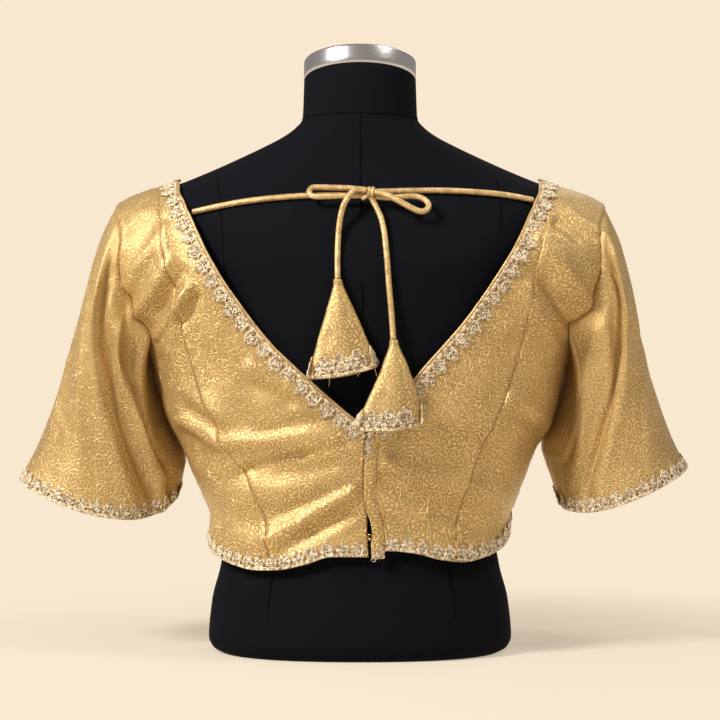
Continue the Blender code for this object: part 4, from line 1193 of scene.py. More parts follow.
# The dress form
@dataclass(frozen=True)
class DressForm:
    """The limbless form under its jersey, with its neck cap."""

    around: int = 144
    seam_radius: float = 0.42
    seam_rise: float = 0.15
    seams: tuple[tuple[tuple[float, float], ...], ...] = (
        ((0.5, 10), (0.5, 84), (1.5, 160), (2.5, 240), (2.0, 320), (1.0, 380),
         (0.5, 420), (0.5, 450), (0.5, 471)),
        ((-125, 417), (-122, 400), (-118, 372), (-116, 340), (-108, 300), (-96, 250),
         (-84, 200), (-76, 150), (-72, 100), (-78, 50), (-80, 10)),
        ((119, 417), (120, 400), (121, 372), (116, 330), (108, 290), (96, 250),
         (86, 200), (78, 150), (74, 100), (80, 50), (82, 10)),
    )

    def torso(self) -> Piece:
        """The torso, closed below and at its tilted neck."""
        heights = np.unique(np.concatenate([
            np.linspace(0, 6, 7), np.linspace(6, 30, 9), np.linspace(30, NECK_TOP, 150),
        ]))
        turn, height = np.meshgrid(np.linspace(0, 360, self.around + 1), heights)
        right = (turn < 90) | (turn >= 270)
        points = FORM.point(np.where(turn < 90, turn, np.where(turn < 270, 180 - turn, turn - 360)), height)
        points[..., 0] *= np.where(right, 1, -1)
        tilt = np.maximum(0, (height - NECK_TILT_FROM) / (NECK_TOP - NECK_TILT_FROM))
        points[..., 2] -= NECK_TILT * tilt * (points[..., 1] - MIDDLE.at("forward", height))
        ends = []
        for row in (0, -1):
            centre = points[row, :-1].mean(axis=0)
            ends.append([centre + (points[row] - centre) * share for share in (0.0, 0.5, 0.9)])
        points = np.concatenate([np.array(ends[0]), points, np.array(ends[1][::-1])])
        flat = columns(travelled(points, 1), points[..., 2]) * MM
        outward = points - points.mean(axis=(0, 1)) * (1, 1, 0) - np.array((0, 0, 260))
        mesh = grid_mesh("form_torso_jersey", points, flat, outward, ring=True)
        weld(mesh)
        return dress(link("form_torso_jersey", mesh), JERSEY.material(), Slot.FORM, "form_torso")

    def cap(self) -> None:
        """The neck's brushed steel cap, softly domed at its edge."""
        profile = [(0.0, 0.0), (CAP_RADIUS * 0.6, 0), (CAP_RADIUS - 0.5, 0), (CAP_RADIUS, 0.5)]
        profile += [(CAP_RADIUS, 6.0), (CAP_RADIUS, CAP_HEIGHT - CAP_ROUNDING)]
        for angle in np.radians((22, 45, 68, 90)):
            profile.append((
                CAP_RADIUS - CAP_ROUNDING * (1 - math.cos(angle)),
                CAP_HEIGHT - CAP_ROUNDING * (1 - math.sin(angle)),
            ))
        profile += [(CAP_RADIUS * 0.9, CAP_HEIGHT), (CAP_RADIUS * 0.5, CAP_HEIGHT), (0.0, CAP_HEIGHT)]
        sizes = np.array(profile)
        angle = np.linspace(0, 2 * np.pi, 97)
        squash = float(FORM_LEVELS.at("back", NECK_TOP) / FORM_LEVELS.at("half_width", NECK_TOP))
        radius, height = sizes[:, :1], sizes[:, 1:]
        points = columns(radius * np.cos(angle), radius * np.sin(angle) * squash, height + CAP_GAP)
        outward = points - (0, 0, CAP_HEIGHT / 2)
        lean = math.atan(NECK_TILT)
        turned = points @ np.array([
            (1, 0, 0), (0, math.cos(lean), -math.sin(lean)), (0, math.sin(lean), math.cos(lean)),
        ])
        turned += (0, float(MIDDLE.at("forward", NECK_TOP)), NECK_TOP)
        mesh = grid_mesh("form_neck_cap_steel", turned, None, outward, ring=True)
        weld(mesh)
        cap = link("form_neck_cap_steel", mesh)
        edges = cap.modifiers.new("edges", "EDGE_SPLIT")
        edges.split_angle = math.radians(50)
        bake(cap)
        dress(cap, STEEL.material(), Slot.STEEL, "form_neck_cap")

    def seam_lines(self, surface: ClothTree) -> None:
        """The jersey's sewn seams, low ridges down the back and round the neck."""
        meshes = []
        for number, route in enumerate(self.seams):
            spots = [surface.stand(out, height, self.seam_rise) for out, height in route]
            line = smooth_route(np.array(spots), 10)
            meshes.append(tube_mesh(f"seam_{number}", line, self.seam_radius, 6))
        turn = np.radians(np.linspace(0, 360, 72, endpoint=False))
        level = NECK_TILT_FROM
        ring = columns(
            (FORM_LEVELS.at("half_width", level) + self.seam_rise) * np.cos(turn),
            MIDDLE.at("forward", level) + (FORM_LEVELS.at("back", level) + self.seam_rise) * np.sin(turn),
            float(level),
        )
        meshes.append(tube_mesh("neck_seam", ring, self.seam_radius, 6, ring=True))
        mesh = join_meshes("form_seams", meshes)
        dress(link("form_seams", mesh), SEAM_THREAD.material(), Slot.FORM)


# The blouse's body
class Cut(NamedTuple):
    """What a cloth piece was cut to, in metres and square metres."""

    width: float
    length: float
    area: float


CLOSURE_HALF = 7.0


@dataclass(frozen=True)
class Panel:
    """A cut panel of the body, or one half of the front."""

    node: str
    face: Face
    side: Side
    outer: str
    columns: int
    per_row: int = 6

    def side_edge(self, row: int) -> tuple[float, float]:
        """(turn, height) of the outer edge at a row: the side seam, then the armhole."""
        upper = row - len(LOWER_ROWS) - 1
        if upper >= 0:
            return self.face.value * UPPER_ROWS[upper].turn, UPPER_ROWS[upper].armhole
        return 0.0, LOWER_ROWS[row - 1].side if row else self.hem(0)

    @property
    def hems(self) -> Table:
        """The hem's heights on this face."""
        return HEM_BACK if self.face is Face.BACK else HEM_FRONT

    def hem(self, turn: float) -> float:
        """Height of the hem at this turn from the side seam."""
        return float(self.hems.at(self.side.word, abs(turn)))

    def princess_edge(self, row: int) -> tuple[float, float]:
        """(turn, height) of the back's princess seam at a row."""
        upper = row - len(LOWER_ROWS) - 1
        column = self.side.word
        if row == ROWS:
            return 0.0, ridge_height(float(PRINCESS.at(column, 411)))
        if upper >= 0:
            height = UPPER_ROWS[upper].princess
        elif row:
            height = LOWER_ROWS[row - 1].princess
        else:
            height = self.hem(float(BLOUSE.turn_at(Face.BACK, PRINCESS.at(column, 80), 80)))
        return float(BLOUSE.turn_at(Face.BACK, PRINCESS.at(column, height), height)), height

    def back_middle(self, row: int) -> tuple[float, float]:
        """(turn, height) of a back half's inner edge: the closure, then the neckline."""
        upper = row - len(LOWER_ROWS) - 1
        column = self.side.word
        if row == ROWS:
            return 0.0, ridge_height(float(NECK_BACK.at(column, 416)))
        if upper >= 0:
            height = UPPER_ROWS[upper].neck
        else:
            height = LOWER_ROWS[row - 1].middle if row else self.hem(90)
        if height > 195:
            out = float(NECK_BACK.at(column, height))
        else:
            out = self.side.value * float(OPENING.at(column, height))
        turn = float(BLOUSE.turn_at(Face.BACK, abs(out), height))
        return (turn if out > 0 else -180 - turn), height

    def front_middle(self, row: int) -> tuple[float, float]:
        """(turn, height) of the front's inner edge: its middle line, then its neckline."""
        upper = row - len(LOWER_ROWS) - 1
        if row == ROWS:
            return 0.0, ridge_height(float(NECK_BACK.at(self.side.word, 416)))
        if row == 0:
            return 90.0, self.hem(90)
        if upper < 0:
            return 90.0, LOWER_ROWS[row - 1].middle
        if upper < len(FRONT_MIDDLE_RISE):
            return 90.0, FRONT_MIDDLE_RISE[upper]
        out, height = FRONT_NECK[upper - len(FRONT_MIDDLE_RISE)]
        return float(BLOUSE.turn_at(Face.FRONT, out, height)), height

    def edges(self) -> Table:
        """The inner and outer edges by row."""
        rows = []
        for row in range(ROWS + 1):
            if self.face is Face.FRONT:
                inner, outer = self.front_middle(row), self.side_edge(row)
            elif self.outer == "side":
                inner, outer = self.princess_edge(row), self.side_edge(row)
            else:
                inner, outer = self.back_middle(row), self.princess_edge(row)
            rows.append((row, *inner, *outer))
        return Table("row in_turn in_height out_turn out_height", rows)

    def places(self, rows: Array, shares: Array) -> tuple[Array, Array]:
        """(turn, height) of places given by row and share of the way out."""
        table = self.edges()
        turn = mix(table.at("in_turn", rows), table.at("out_turn", rows), shares)
        height = mix(table.at("in_height", rows), table.at("out_height", rows), shares)
        low = mix(float(table.at("in_height", 0)), float(table.at("out_height", 0)), shares)
        return turn, height + (self.hems.at(self.side.word, abs(turn)) - low) * np.clip(1 - rows, 0, 1)

    def grid(self) -> tuple[Array, Array, Array]:
        """The fine grid of points, its flat places, and its outward directions."""
        rows, shares = np.meshgrid(
            np.linspace(0, ROWS, ROWS * self.per_row + 1), np.linspace(0, 1, self.columns + 1), indexing="ij"
        )
        turn, height = self.places(rows, shares)
        plain = cloth_point(self.side, turn, height)
        across = travelled(plain, 1)
        width = across[:, -1:]
        rise = self.seams(rows, across, width - across, plain)
        rise += uneven(plain, 30) * 1.0 + uneven(plain, 12, 7.3) * 0.38
        points = cloth_point(self.side, turn, height, rise, fine=True)
        shift = width.max() if self.outer == "side" and self.face is Face.BACK else 0.0
        upward = travelled(plain[:, self.columns // 2:self.columns // 2 + 1], 0)
        inward = 1 if self.face is Face.BACK else -1
        flat = columns(self.side.value * (across + shift + CLOSURE_HALF) * inward, upward) * MM
        return points, flat, cloth_normal(self.side, folded(turn), height)

    def seams(self, rows: Array, inner: Array, outer: Array, points: Array) -> Array:
        """How far seams and puckers lift or sink the cloth.

        Args:
            rows: Each point's row.
            inner: Distances from the inner edge.
            outer: Distances from the outer edge.
            points: The points.

        Returns:
            The lifts, in millimetres.
        """
        rise = np.zeros(rows.shape)
        pucker = uneven(points * (0.4, 0.4, 1), 5.0, 3.1)
        sewn = [outer]
        if self.outer == "side" and self.face is Face.BACK:
            sewn.append(inner)
        for away in sewn:
            rise -= (0.5 + pucker * 0.3) * np.exp(-((away / 1.7) ** 2))
            rise += (0.25 + pucker * 1.0) * np.exp(-(((away - 4.0) / 2.8) ** 2))
        return rise

    def mesh(self) -> Mesh:
        """The panel's middle surface."""
        points, flat, outward = self.grid()
        return grid_mesh(self.node, points, flat, outward)

    def edge(self, share: float, start: float, stop: float, count: int) -> tuple[Array, Array]:
        """Points along a share of the way out between two rows, and points 4 mm further in from it."""
        rows = np.linspace(start, stop, count)
        line = cloth_point(self.side, *self.places(rows, np.full(count, share)))
        step = 0.12 if share < 0.5 else -0.12
        return line, cloth_point(self.side, *self.places(rows, np.full(count, share + step)))

    def hem_line(self, count: int, backwards: bool) -> tuple[Array, Array]:
        """Points along the hem, and points one row further up."""
        shares = np.linspace(1, 0, count) if backwards else np.linspace(0, 1, count)
        line = cloth_point(self.side, *self.places(np.zeros(count), shares))
        return line, cloth_point(self.side, *self.places(np.full(count, 0.7), shares))


BACK_LEFT = Panel("back_left_centre", Face.BACK, Side.LEFT, "princess", 42)
BACK_LEFT_SIDE = Panel("back_left_side", Face.BACK, Side.LEFT, "side", 40)
BACK_RIGHT = Panel("back_right_centre", Face.BACK, Side.RIGHT, "princess", 42)
BACK_RIGHT_SIDE = Panel("back_right_side", Face.BACK, Side.RIGHT, "side", 40)
FRONT_LEFT = Panel("front_left", Face.FRONT, Side.LEFT, "side", 76, 5)
FRONT_RIGHT = Panel("front_right", Face.FRONT, Side.RIGHT, "side", 76, 5)


@dataclass
class Bodice:
    """The body of the blouse: four back panels and the front."""

    cuts: tuple[Cut, ...] = (
        Cut(0.135, 0.41, 0.0276), Cut(0.11, 0.39, 0.0272), Cut(0.11, 0.40, 0.0215), Cut(0.11, 0.39, 0.0298),
        Cut(0.51, 0.41, 0.126),
    )

    pieces: list[Piece] = field(default_factory=list)

    def make(self) -> ClothTree:
        """The panels, and the tree of their middle surfaces."""
        middles = []
        for panel in (BACK_LEFT, BACK_LEFT_SIDE, BACK_RIGHT, BACK_RIGHT_SIDE):
            middles.append(panel.mesh())
            self.pieces.append(link(f"{panel.node}_cloth", middles[-1].copy()))
        front = join_meshes("front", [FRONT_LEFT.mesh(), FRONT_RIGHT.mesh()])
        weld(front)
        front.shade_smooth()
        middles.append(front)
        self.pieces.append(link("front_cloth", front.copy()))
        tree = ClothTree(middles)
        for piece, middle in zip(self.pieces, middles):
            log_area(piece.name, middle)
            thicken(piece, CLOTH_WALL)
            dress(piece, BROCADE.material(), Slot.BROCADE, piece.name.removesuffix("_cloth"))
        for middle in middles:
            bpy.data.meshes.remove(middle)
        return tree

    def declare(self, trims: Sequence[Piece]) -> None:
        """Goes through the panels and their cuts without doing anything with them."""
        for piece, cut in zip(self.pieces, self.cuts):
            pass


# The sleeves
SHOULDER_OUT = 214
TUCK_AROUND, TUCK_SPREAD, TUCK_FROM = 0.535, 0.075, 0.2


def sleeve_folds(*rows: Sequence[float]) -> tuple[SleeveFold, ...]:
    """A sleeve's folds, from rows of their sizes."""
    return tuple(SleeveFold(*row) for row in rows)


@dataclass
class Sleeve:
    """A bell sleeve, one piece closed under the arm."""

    side: Side
    out: float
    forward: float
    height: float
    half_width: float
    half_depth: float
    outer_rise: float
    back_dip: float
    skew: float
    folds: tuple[SleeveFold, ...]
    cut: Cut
    tucks: tuple[float, ...] = (0.0,) * 9
    around: int = 168
    down: int = 96
    piece: Piece = field(init=False)

    def seam(self, around: Array) -> tuple[Array, Array]:
        """Points of the upper edge, and the outward directions there.

        Args:
            around: 0 at the shoulder, 0.25 behind and 0.5 at the underarm.

        Returns:
            The points and the directions.
        """
        sign = np.where(around <= 0.5, -1.0, 1.0)
        share = np.abs(1 - 2 * around)

        def place(at: Array) -> Array:
            """Points of the armhole at these shares."""
            return cloth_point(self.side, sign * ARMHOLE.at("turn", at), ARMHOLE.at("height", at), fine=True)

        point = place(share)
        normal = cloth_normal(self.side, sign * ARMHOLE.at("turn", share), ARMHOLE.at("height", share))
        along = place(np.minimum(share + 0.01, 1)) - place(np.maximum(share - 0.01, 0))
        into = unit(np.cross(normal, along))
        inside = ((np.array((self.side.value * 205, 0, 335)) - point) * into).sum(axis=-1) < 0
        into[inside] *= -1
        near = np.clip(np.minimum(around, 1 - around) * 24, 0, 1)[..., None]
        into = mix(np.array((self.side.value * 0.8, 0, -0.6)), into, near)
        under = ((1 - np.cos(2 * np.pi * around)) / 2)[..., None]
        return point - into * 0.7 + normal * (under * 1.9 - 0.75), normal

    def fold_rise(self, around: Array, down: Array) -> Array:
        """How far the folds lift the cloth."""
        rise = np.zeros(around.shape)
        for fold in self.folds:
            share = (down - fold.down) / (fold.to_down - fold.down)
            away = (around - mix(fold.around, fold.to_around, np.clip(share, 0, 1))) / fold.spread
            ends = np.clip((down - fold.down * 0.3) / 0.12, 0, 1) * np.clip((1.08 - down) / 0.35, 0.35, 1)
            rise += fold.rise * np.exp(-away * away) * ends
        tuck = np.interp(down, np.linspace(TUCK_FROM, 1, len(self.tucks)), self.tucks)
        return rise + tuck * np.exp(-(((around - TUCK_AROUND) / TUCK_SPREAD) ** 2))

    def axis(self, down: Array, height: Array) -> Array:
        """Points of the sleeve's own middle line at these heights."""
        return columns(
            self.side.value * mix(SHOULDER_OUT, self.out, down), mix(0, self.forward, down), height
        )

    def point(self, around: Array, down: Array, out: Value = 0.0) -> Array:
        """Points of the sleeve: down is 0 at the armhole and 1 at the hem."""
        sign = self.side.value
        seam, _ = self.seam(around)
        angle = 2 * np.pi * around
        outer, behind = np.cos(angle), np.sin(angle)

        def pull(size: Sequence[float]) -> Array:
            """How far a handle reaches round the sleeve."""
            return size[0] + size[1] * outer + size[2] * behind * behind

        hem = columns(
            sign * (self.out + self.half_width * outer),
            self.forward - self.half_depth * behind,
            self.height + self.outer_rise * outer - self.back_dip * behind + self.skew * outer * behind,
        )
        leave = seam + columns(sign * pull(LEAVE_OUT), -LEAVE_BACK * behind, -pull(LEAVE_DOWN))
        arrive = hem + columns(-sign * pull(ARRIVE_OUT), LEAVE_BACK * behind, pull(ARRIVE_DOWN))
        t, left = down[..., None], 1 - down[..., None]
        point = seam * left**3 + leave * 3 * left**2 * t + arrive * 3 * left * t**2 + hem * t**3
        away = point - self.axis(down, point[..., 2])
        away[..., 2] = 0
        return point + unit(away) * (out + self.fold_rise(around, down))[..., None]

    def make(self) -> ClothTree:
        """The sleeve, and the tree of its middle surface."""
        turned, down = np.meshgrid(
            np.linspace(0.5, 1.5, self.around + 1), np.linspace(0, 1, self.down + 1)
        )
        around = turned % 1.0
        plain = self.point(around, down)
        flow = travelled(plain, 0)
        head = np.exp(-((flow / 2.2) ** 2)) * 0.9
        pucker = (0.35 + uneven(plain, 6.0, 1.7) * 0.8) * np.exp(-(((flow - 5) / 4) ** 2))
        rise = pucker - head + uneven(plain, 26, 4.4) * 0.8 + uneven(plain, 11, 9.1) * 0.25
        rise -= 0.9 * np.exp(-(((turned - 0.5) * 220) ** 2)) + 0.9 * np.exp(-(((turned - 1.5) * 220) ** 2))
        points = self.point(around, down, rise)
        girth = travelled(plain, 1)
        middle = slice(self.around // 2, self.around // 2 + 1)
        flat = columns(girth - girth[:, middle], -flow[:, middle]) * MM
        name = f"sleeve_{self.side.word}"
        mesh = grid_mesh(name, points, flat, plain - self.axis(down, plain[..., 2]), ring=True)
        self.piece = link(f"{name}_cloth", mesh.copy())
        log_area(self.piece.name, mesh)
        tree = ClothTree([mesh])
        bpy.data.meshes.remove(mesh)
        thicken(self.piece, CLOTH_WALL)
        dress(self.piece, BROCADE.material(), Slot.BROCADE, name)
        return tree

    def hem_edge(self) -> tuple[Array, Array, Array]:
        """Points round the hem, points further up, and outward directions."""
        around = np.linspace(0, 1, 97)[:-1]
        line, inner = self.point(around, np.ones(96)), self.point(around, np.full(96, 0.93))
        outward = line - (self.side.value * self.out, self.forward, 0)
        outward[:, 2] = 0
        return line, inner, outward

    def declare(self, lace: Piece) -> None:
        """Does nothing."""


SLEEVES = [
    Sleeve(
        Side.LEFT, 236.5, 6, 143, 66.5, 50, 10, 20.5, 7,
        sleeve_folds(
            (0.26, 0.43, 0.08, 0.85, 4.0, 0.035), (0.215, 0.40, 0.06, 0.90, -6.5, 0.030),
            (0.15, 0.34, 0.05, 0.90, 5.0, 0.030), (0.78, 0.70, 0.08, 0.95, 4.5, 0.04),
            (0.70, 0.62, 0.10, 0.90, -4.5, 0.035), (0.235, 0.41, 0.08, 0.86, -2.6, 0.010),
            (0.20, 0.375, 0.10, 0.88, 2.0, 0.010), (0.30, 0.43, 0.25, 0.75, 4.0, 0.018),
            (0.34, 0.455, 0.30, 0.80, -5.0, 0.020), (0.09, 0.24, 0.12, 0.98, 2.0, 0.020),
            (0.05, 0.15, 0.16, 0.98, -1.8, 0.022), (0.04, 0.09, 0.30, 1.0, 1.6, 0.020),
            (0.86, 0.82, 0.10, 0.90, 2.0, 0.020),
        ),
        Cut(0.42, 0.26, 0.0675), (7.0, 9.5, 11.0, 13.0, 15.5, 20.0, 18.5, 12.5, 5.5),
    ),
    Sleeve(
        Side.RIGHT, 236, 6, 146, 56, 52, 16, 12.5, 6,
        sleeve_folds(
            (0.27, 0.43, 0.08, 0.90, 3.2, 0.035), (0.22, 0.38, 0.08, 0.90, -4.2, 0.028),
            (0.16, 0.32, 0.06, 0.88, 3.4, 0.026), (0.77, 0.69, 0.08, 0.95, 4.5, 0.04),
            (0.69, 0.61, 0.10, 0.90, -4.0, 0.035), (0.20, 0.36, 0.10, 0.85, -2.2, 0.011),
            (0.24, 0.40, 0.14, 0.95, 2.2, 0.011), (0.08, 0.20, 0.20, 1.0, 2.0, 0.018),
            (0.05, 0.14, 0.20, 0.98, -1.6, 0.020), (0.31, 0.45, 0.12, 0.70, 2.4, 0.016),
            (0.35, 0.46, 0.25, 0.80, -2.4, 0.016), (0.85, 0.80, 0.12, 0.90, 2.0, 0.020),
        ),
        Cut(0.42, 0.25, 0.0632), (8.0, 12.0, 15.0, 19.0, 24.0, 22.0, 16.0, 8.5, 0.0),
    ),
]


# What is sewn on, by node trees
Size = Callable[[str], Wire]
Places = tuple[Array, Array, Array]
SEED = 11
UNEVEN_SIZES = 0.94, 1.05


def sew_on_points(
    name: str, sizes: dict[str, float | int], part: Callable[[Graph, Size], Wire],
    finish: Material, places: Places, stretch: float = 1.0,
) -> Mesh:
    """Sews one part at each of many places, with a node tree.

    Args:
        name: The tree's name.
        sizes: The tree's named sizes.
        part: Builds the part's geometry in the tree.
        finish: The part's material.
        places: Points in metres, directions along Y and directions out, for each place.
        stretch: The part's scale.

    Returns:
        The mesh of all of them.
    """
    tree = bpy.data.node_groups.new(name, "GeometryNodeTree")
    face = tree.interface
    face.new_socket("Geometry", in_out="INPUT", socket_type="NodeSocketGeometry")
    face.new_socket("Geometry", in_out="OUTPUT", socket_type="NodeSocketGeometry")
    sizes = {**sizes, "Stretch": float(stretch), "Seed": SEED}
    keys = {}
    for label, value in sizes.items():
        kind = "NodeSocketInt" if isinstance(value, int) else "NodeSocketFloat"
        keys[label] = face.new_socket(label, in_out="INPUT", socket_type=kind).identifier
    graph = Graph(tree)
    group = tree.nodes.new("NodeGroupInput")

    def size(label: str) -> Wire:
        """The wire of a named size."""
        return Wire(graph, group.outputs[label])

    def direction(label: str) -> Wire:
        """The wire of a named direction."""
        return graph.get("GeometryNodeInputNamedAttribute", {"Name": label}, data_type="FLOAT_VECTOR")

    bundle = graph.get("GeometryNodeGeometryToInstance", {0: part(graph, size)})
    turned = graph.get("FunctionNodeAxesToRotation", {
        "Primary Axis": direction("outward"), "Secondary Axis": direction("into"),
    }, primary_axis="Z", secondary_axis="Y")
    chance = graph.add("FunctionNodeRandomValue", {"Seed": size("Seed")}, data_type="FLOAT")
    chance.inputs[2].default_value, chance.inputs[3].default_value = UNEVEN_SIZES
    scale = graph.wire(chance, 1) * size("Stretch")
    placed = graph.get("GeometryNodeInstanceOnPoints", {
        "Points": graph.wire(group), "Instance": bundle, "Rotation": turned,
        "Scale": graph.join(scale, scale, 1.0),
    })
    smooth = graph.get("GeometryNodeSetShadeSmooth", {
        0: graph.get("GeometryNodeRealizeInstances", {0: placed}),
    })
    last = graph.add("GeometryNodeSetMaterial", {0: smooth, "Material": finish})
    tree.links.new(last.outputs[0], tree.nodes.new("NodeGroupOutput").inputs[0])

    mesh = bpy.data.meshes.new(name)
    mesh.from_pydata(places[0].tolist(), [], [])
    for label, values in (("into", places[1]), ("outward", places[2])):
        layer = mesh.attributes.new(label, "FLOAT_VECTOR", "POINT")
        layer.data.foreach_set("vector", np.asarray(values, np.float32).ravel())
    holder = link(name, mesh)
    sewing = holder.modifiers.new("sewing", "NODES")
    sewing.node_group = tree
    for label, value in sizes.items():
        sewing[keys[label]] = value
    bake(holder)
    made = holder.data.copy()
    bpy.data.objects.remove(holder)
    bpy.data.node_groups.remove(tree)
    return made


Part = tuple[Mesh, Material]


def join_parts(name: str, parts: Sequence[Part]) -> Piece:
    """One object of several meshes, each with its own finish."""
    finishes: list[Material] = []
    for mesh, finish in parts:
        if finish not in finishes:
            finishes.append(finish)
        mesh.polygons.foreach_set("material_index", [finishes.index(finish)] * len(mesh.polygons))
    joined = join_meshes(name, [mesh for mesh, _ in parts])
    for finish in finishes:
        joined.materials.append(finish)
    joined.shade_smooth()
    return link(name, joined)


@dataclass(frozen=True)
class LaceMotif:
    """One scallop of loop lace: a fan of cord loops round a ring, its beads, and its place in the strip."""

    petals: int = 5
    petal_length: float = 6.2
    petal_width: float = 4.7
    cord: float = 0.48
    ring: float = 2.3
    bead: float = 1.0
    spread: float = 3.9
    reach: float = 4.8
    pitch: float = 13.6
    side_ring: float = 3.0
    inner_petal: float = 0.56
    bead_rise: float = 0.0002

    def sizes(self) -> dict[str, float | int]:
        """The tree's named sizes, in metres."""
        return {
            "Petals": self.petals, "Petal length": self.petal_length * MM,
            "Petal width": self.petal_width * MM, "Cord": self.cord * MM, "Ring": self.ring * MM,
            "Bead": self.bead * MM, "Reach": self.reach * MM, "Spread": self.spread,
            "Side ring": self.side_ring * MM,
        }

    def turn(self, graph: Graph, size: Size) -> Wire:
        """Each petal's turn in the fan."""
        return (graph.get("GeometryNodeInputIndex") * (1 / (self.petals - 1)) - 0.5) * size("Spread")

    def away(self, size: Size) -> Wire:
        """How far a petal's middle lies from the ring's."""
        return size("Petal length") * 0.5 + self.ring * 0.6 * MM

    def loops(self, graph: Graph, size: Size) -> Wire:
        """The fan of cord loops round its ring."""
        circle = "GeometryNodeCurvePrimitiveCircle"
        profile = graph.get(circle, {"Resolution": 5, "Radius": size("Cord")})

        def loop(width: Wire, length: Wire, shift: Value) -> Wire:
            """An oval loop of cord, shifted along Y."""
            placed = graph.transform(
                graph.get(circle, {"Resolution": 11, "Radius": 1.0}),
                Translation=graph.join(0.0, shift, 0.0), Scale=graph.join(width, length, 1.0),
            )
            return graph.get("GeometryNodeCurveToMesh", {0: placed, 1: profile})

        half = size("Petal length") * 0.5
        petal = graph.gather(*(
            loop(size("Petal width") * (share / 2), half * share, self.away(size))
            for share in (1.0, self.inner_petal)
        ))
        turn = self.turn(graph, size)
        fan = graph.get("GeometryNodeInstanceOnPoints", {
            0: graph.get("GeometryNodePoints", {0: size("Petals")}), "Instance": petal,
            "Rotation": graph.join(0.0, 0.0, turn),
            "Scale": graph.join(1.0, 1.0 - graph.math("ABSOLUTE", turn) * 0.16, 1.0),
        })
        rings = [loop(size("Ring"), size("Ring"), 0.0)]
        for side in (-0.46, 0.46):
            small = loop(size("Side ring"), size("Side ring") * 0.9, -0.5 * self.reach * MM)
            rings.append(graph.transform(small, Translation=graph.join(side * self.pitch * MM, 0.0, 0.0)))
        return self.lifted(graph, size, graph.gather(fan, *rings))

    def beads(self, graph: Graph, size: Size) -> Wire:
        """A bead in the ring and small ones in the petals."""
        ball = {"Segments": 6, "Rings": 4}
        centre = graph.get("GeometryNodeMeshUVSphere", {**ball, "Radius": size("Bead")})
        small = graph.get("GeometryNodeMeshUVSphere", {**ball, "Radius": size("Bead") * 0.8})
        turn, away = self.turn(graph, size), self.away(size)
        points = graph.get("GeometryNodePoints", {0: size("Petals"), 1: graph.join(
            graph.math("SINE", turn) * away * -1.0, graph.math("COSINE", turn) * away, self.bead_rise,
        )})
        tips = graph.get("GeometryNodeInstanceOnPoints", {0: points, "Instance": small})
        return self.lifted(graph, size, graph.gather(centre, tips))

    def lifted(self, graph: Graph, size: Size, part: Wire) -> Wire:
        """The part moved out from the strip's foot."""
        return graph.transform(part, Translation=graph.join(0.0, size("Reach"), 0.0))

    def parts(self, places: Places, stretch: float) -> list[Part]:
        """The loops and the beads at many places, each with its finish."""
        made = []
        for name, part, finish in (("lace_loops", self.loops, TWINE), ("lace_beads", self.beads, BEAD)):
            material = finish.material()
            made.append((sew_on_points(name, self.sizes(), part, material, places, stretch), material))
        return made


def into_cloth(edge: Array, inner: Array, ring: bool = False) -> Array:
    """Directions from an edge straight into the cloth.

    Args:
        edge: Points along the edge.
        inner: Points further into the cloth.
        ring: Whether the edge closes on itself.

    Returns:
        The directions, square to the edge.
    """
    ahead, _, _ = frames_along(edge, ring)
    into = inner - edge
    return unit(into - ahead * (into * ahead).sum(axis=1, keepdims=True))


@dataclass(frozen=True)
class Lace:
    """Scalloped loop lace sewn along an edge, with its twisted band."""

    motif: LaceMotif = LaceMotif()
    band_radius: float = 0.72
    band_inset: float = 1.5
    band_shift: float = -0.6
    band_step: float = 1.3
    band_grain: float = 2.6
    rise: float = 1.2

    def sew(
        self, name: str, edge: Array, inner: Array, outward: Array, surface: ClothTree, pitch: float,
        ring: bool = False,
    ) -> Piece:
        """Sews lace along an edge.

        Args:
            name: The CAD node that the lace replaces.
            edge: Points along the edge, in millimetres.
            inner: Points further into the cloth.
            outward: Directions away from the body.
            surface: The cloth.
            pitch: The length of a scallop.
            ring: Whether the edge closes on itself.

        Returns:
            The piece.
        """
        table = np.hstack([edge, into_cloth(edge, inner, ring), outward])
        spots, _ = resample(table, pitch, ring)
        if not ring:
            spots = (spots[1:] + spots[:-1]) / 2

        def laid(spot: Array, inset: float) -> tuple[Array, Array]:
            """The point this far in from the edge, on the cloth, and the direction out of it."""
            return surface.lay(spot[:3] + unit(spot[3:6]) * inset, spot[6:9], self.rise)

        feet, intos, outs = [], [], []
        for spot in spots:
            foot, normal = laid(spot, self.band_inset)
            feet.append(foot * MM)
            intos.append(unit(laid(spot, LACE_WIDTH)[0] - foot))
            outs.append(normal)
        spacing = np.median(np.linalg.norm(np.diff(spots[:, :3], axis=0), axis=1))
        places = np.array(feet), np.array(intos), np.array(outs)
        parts = self.motif.parts(places, spacing / self.motif.pitch)
        thread = TWINE.material()
        band, _ = resample(table, self.band_grain, ring)
        for number in range(2):
            inset = self.band_inset + self.band_shift + number * self.band_step
            line = np.array([laid(spot, inset)[0] for spot in band])
            parts.append((tube_mesh("band", line, self.band_radius, 6, ring), thread))
        return dress(join_parts(f"{name}_loops", parts), thread, Slot.LACE, name)


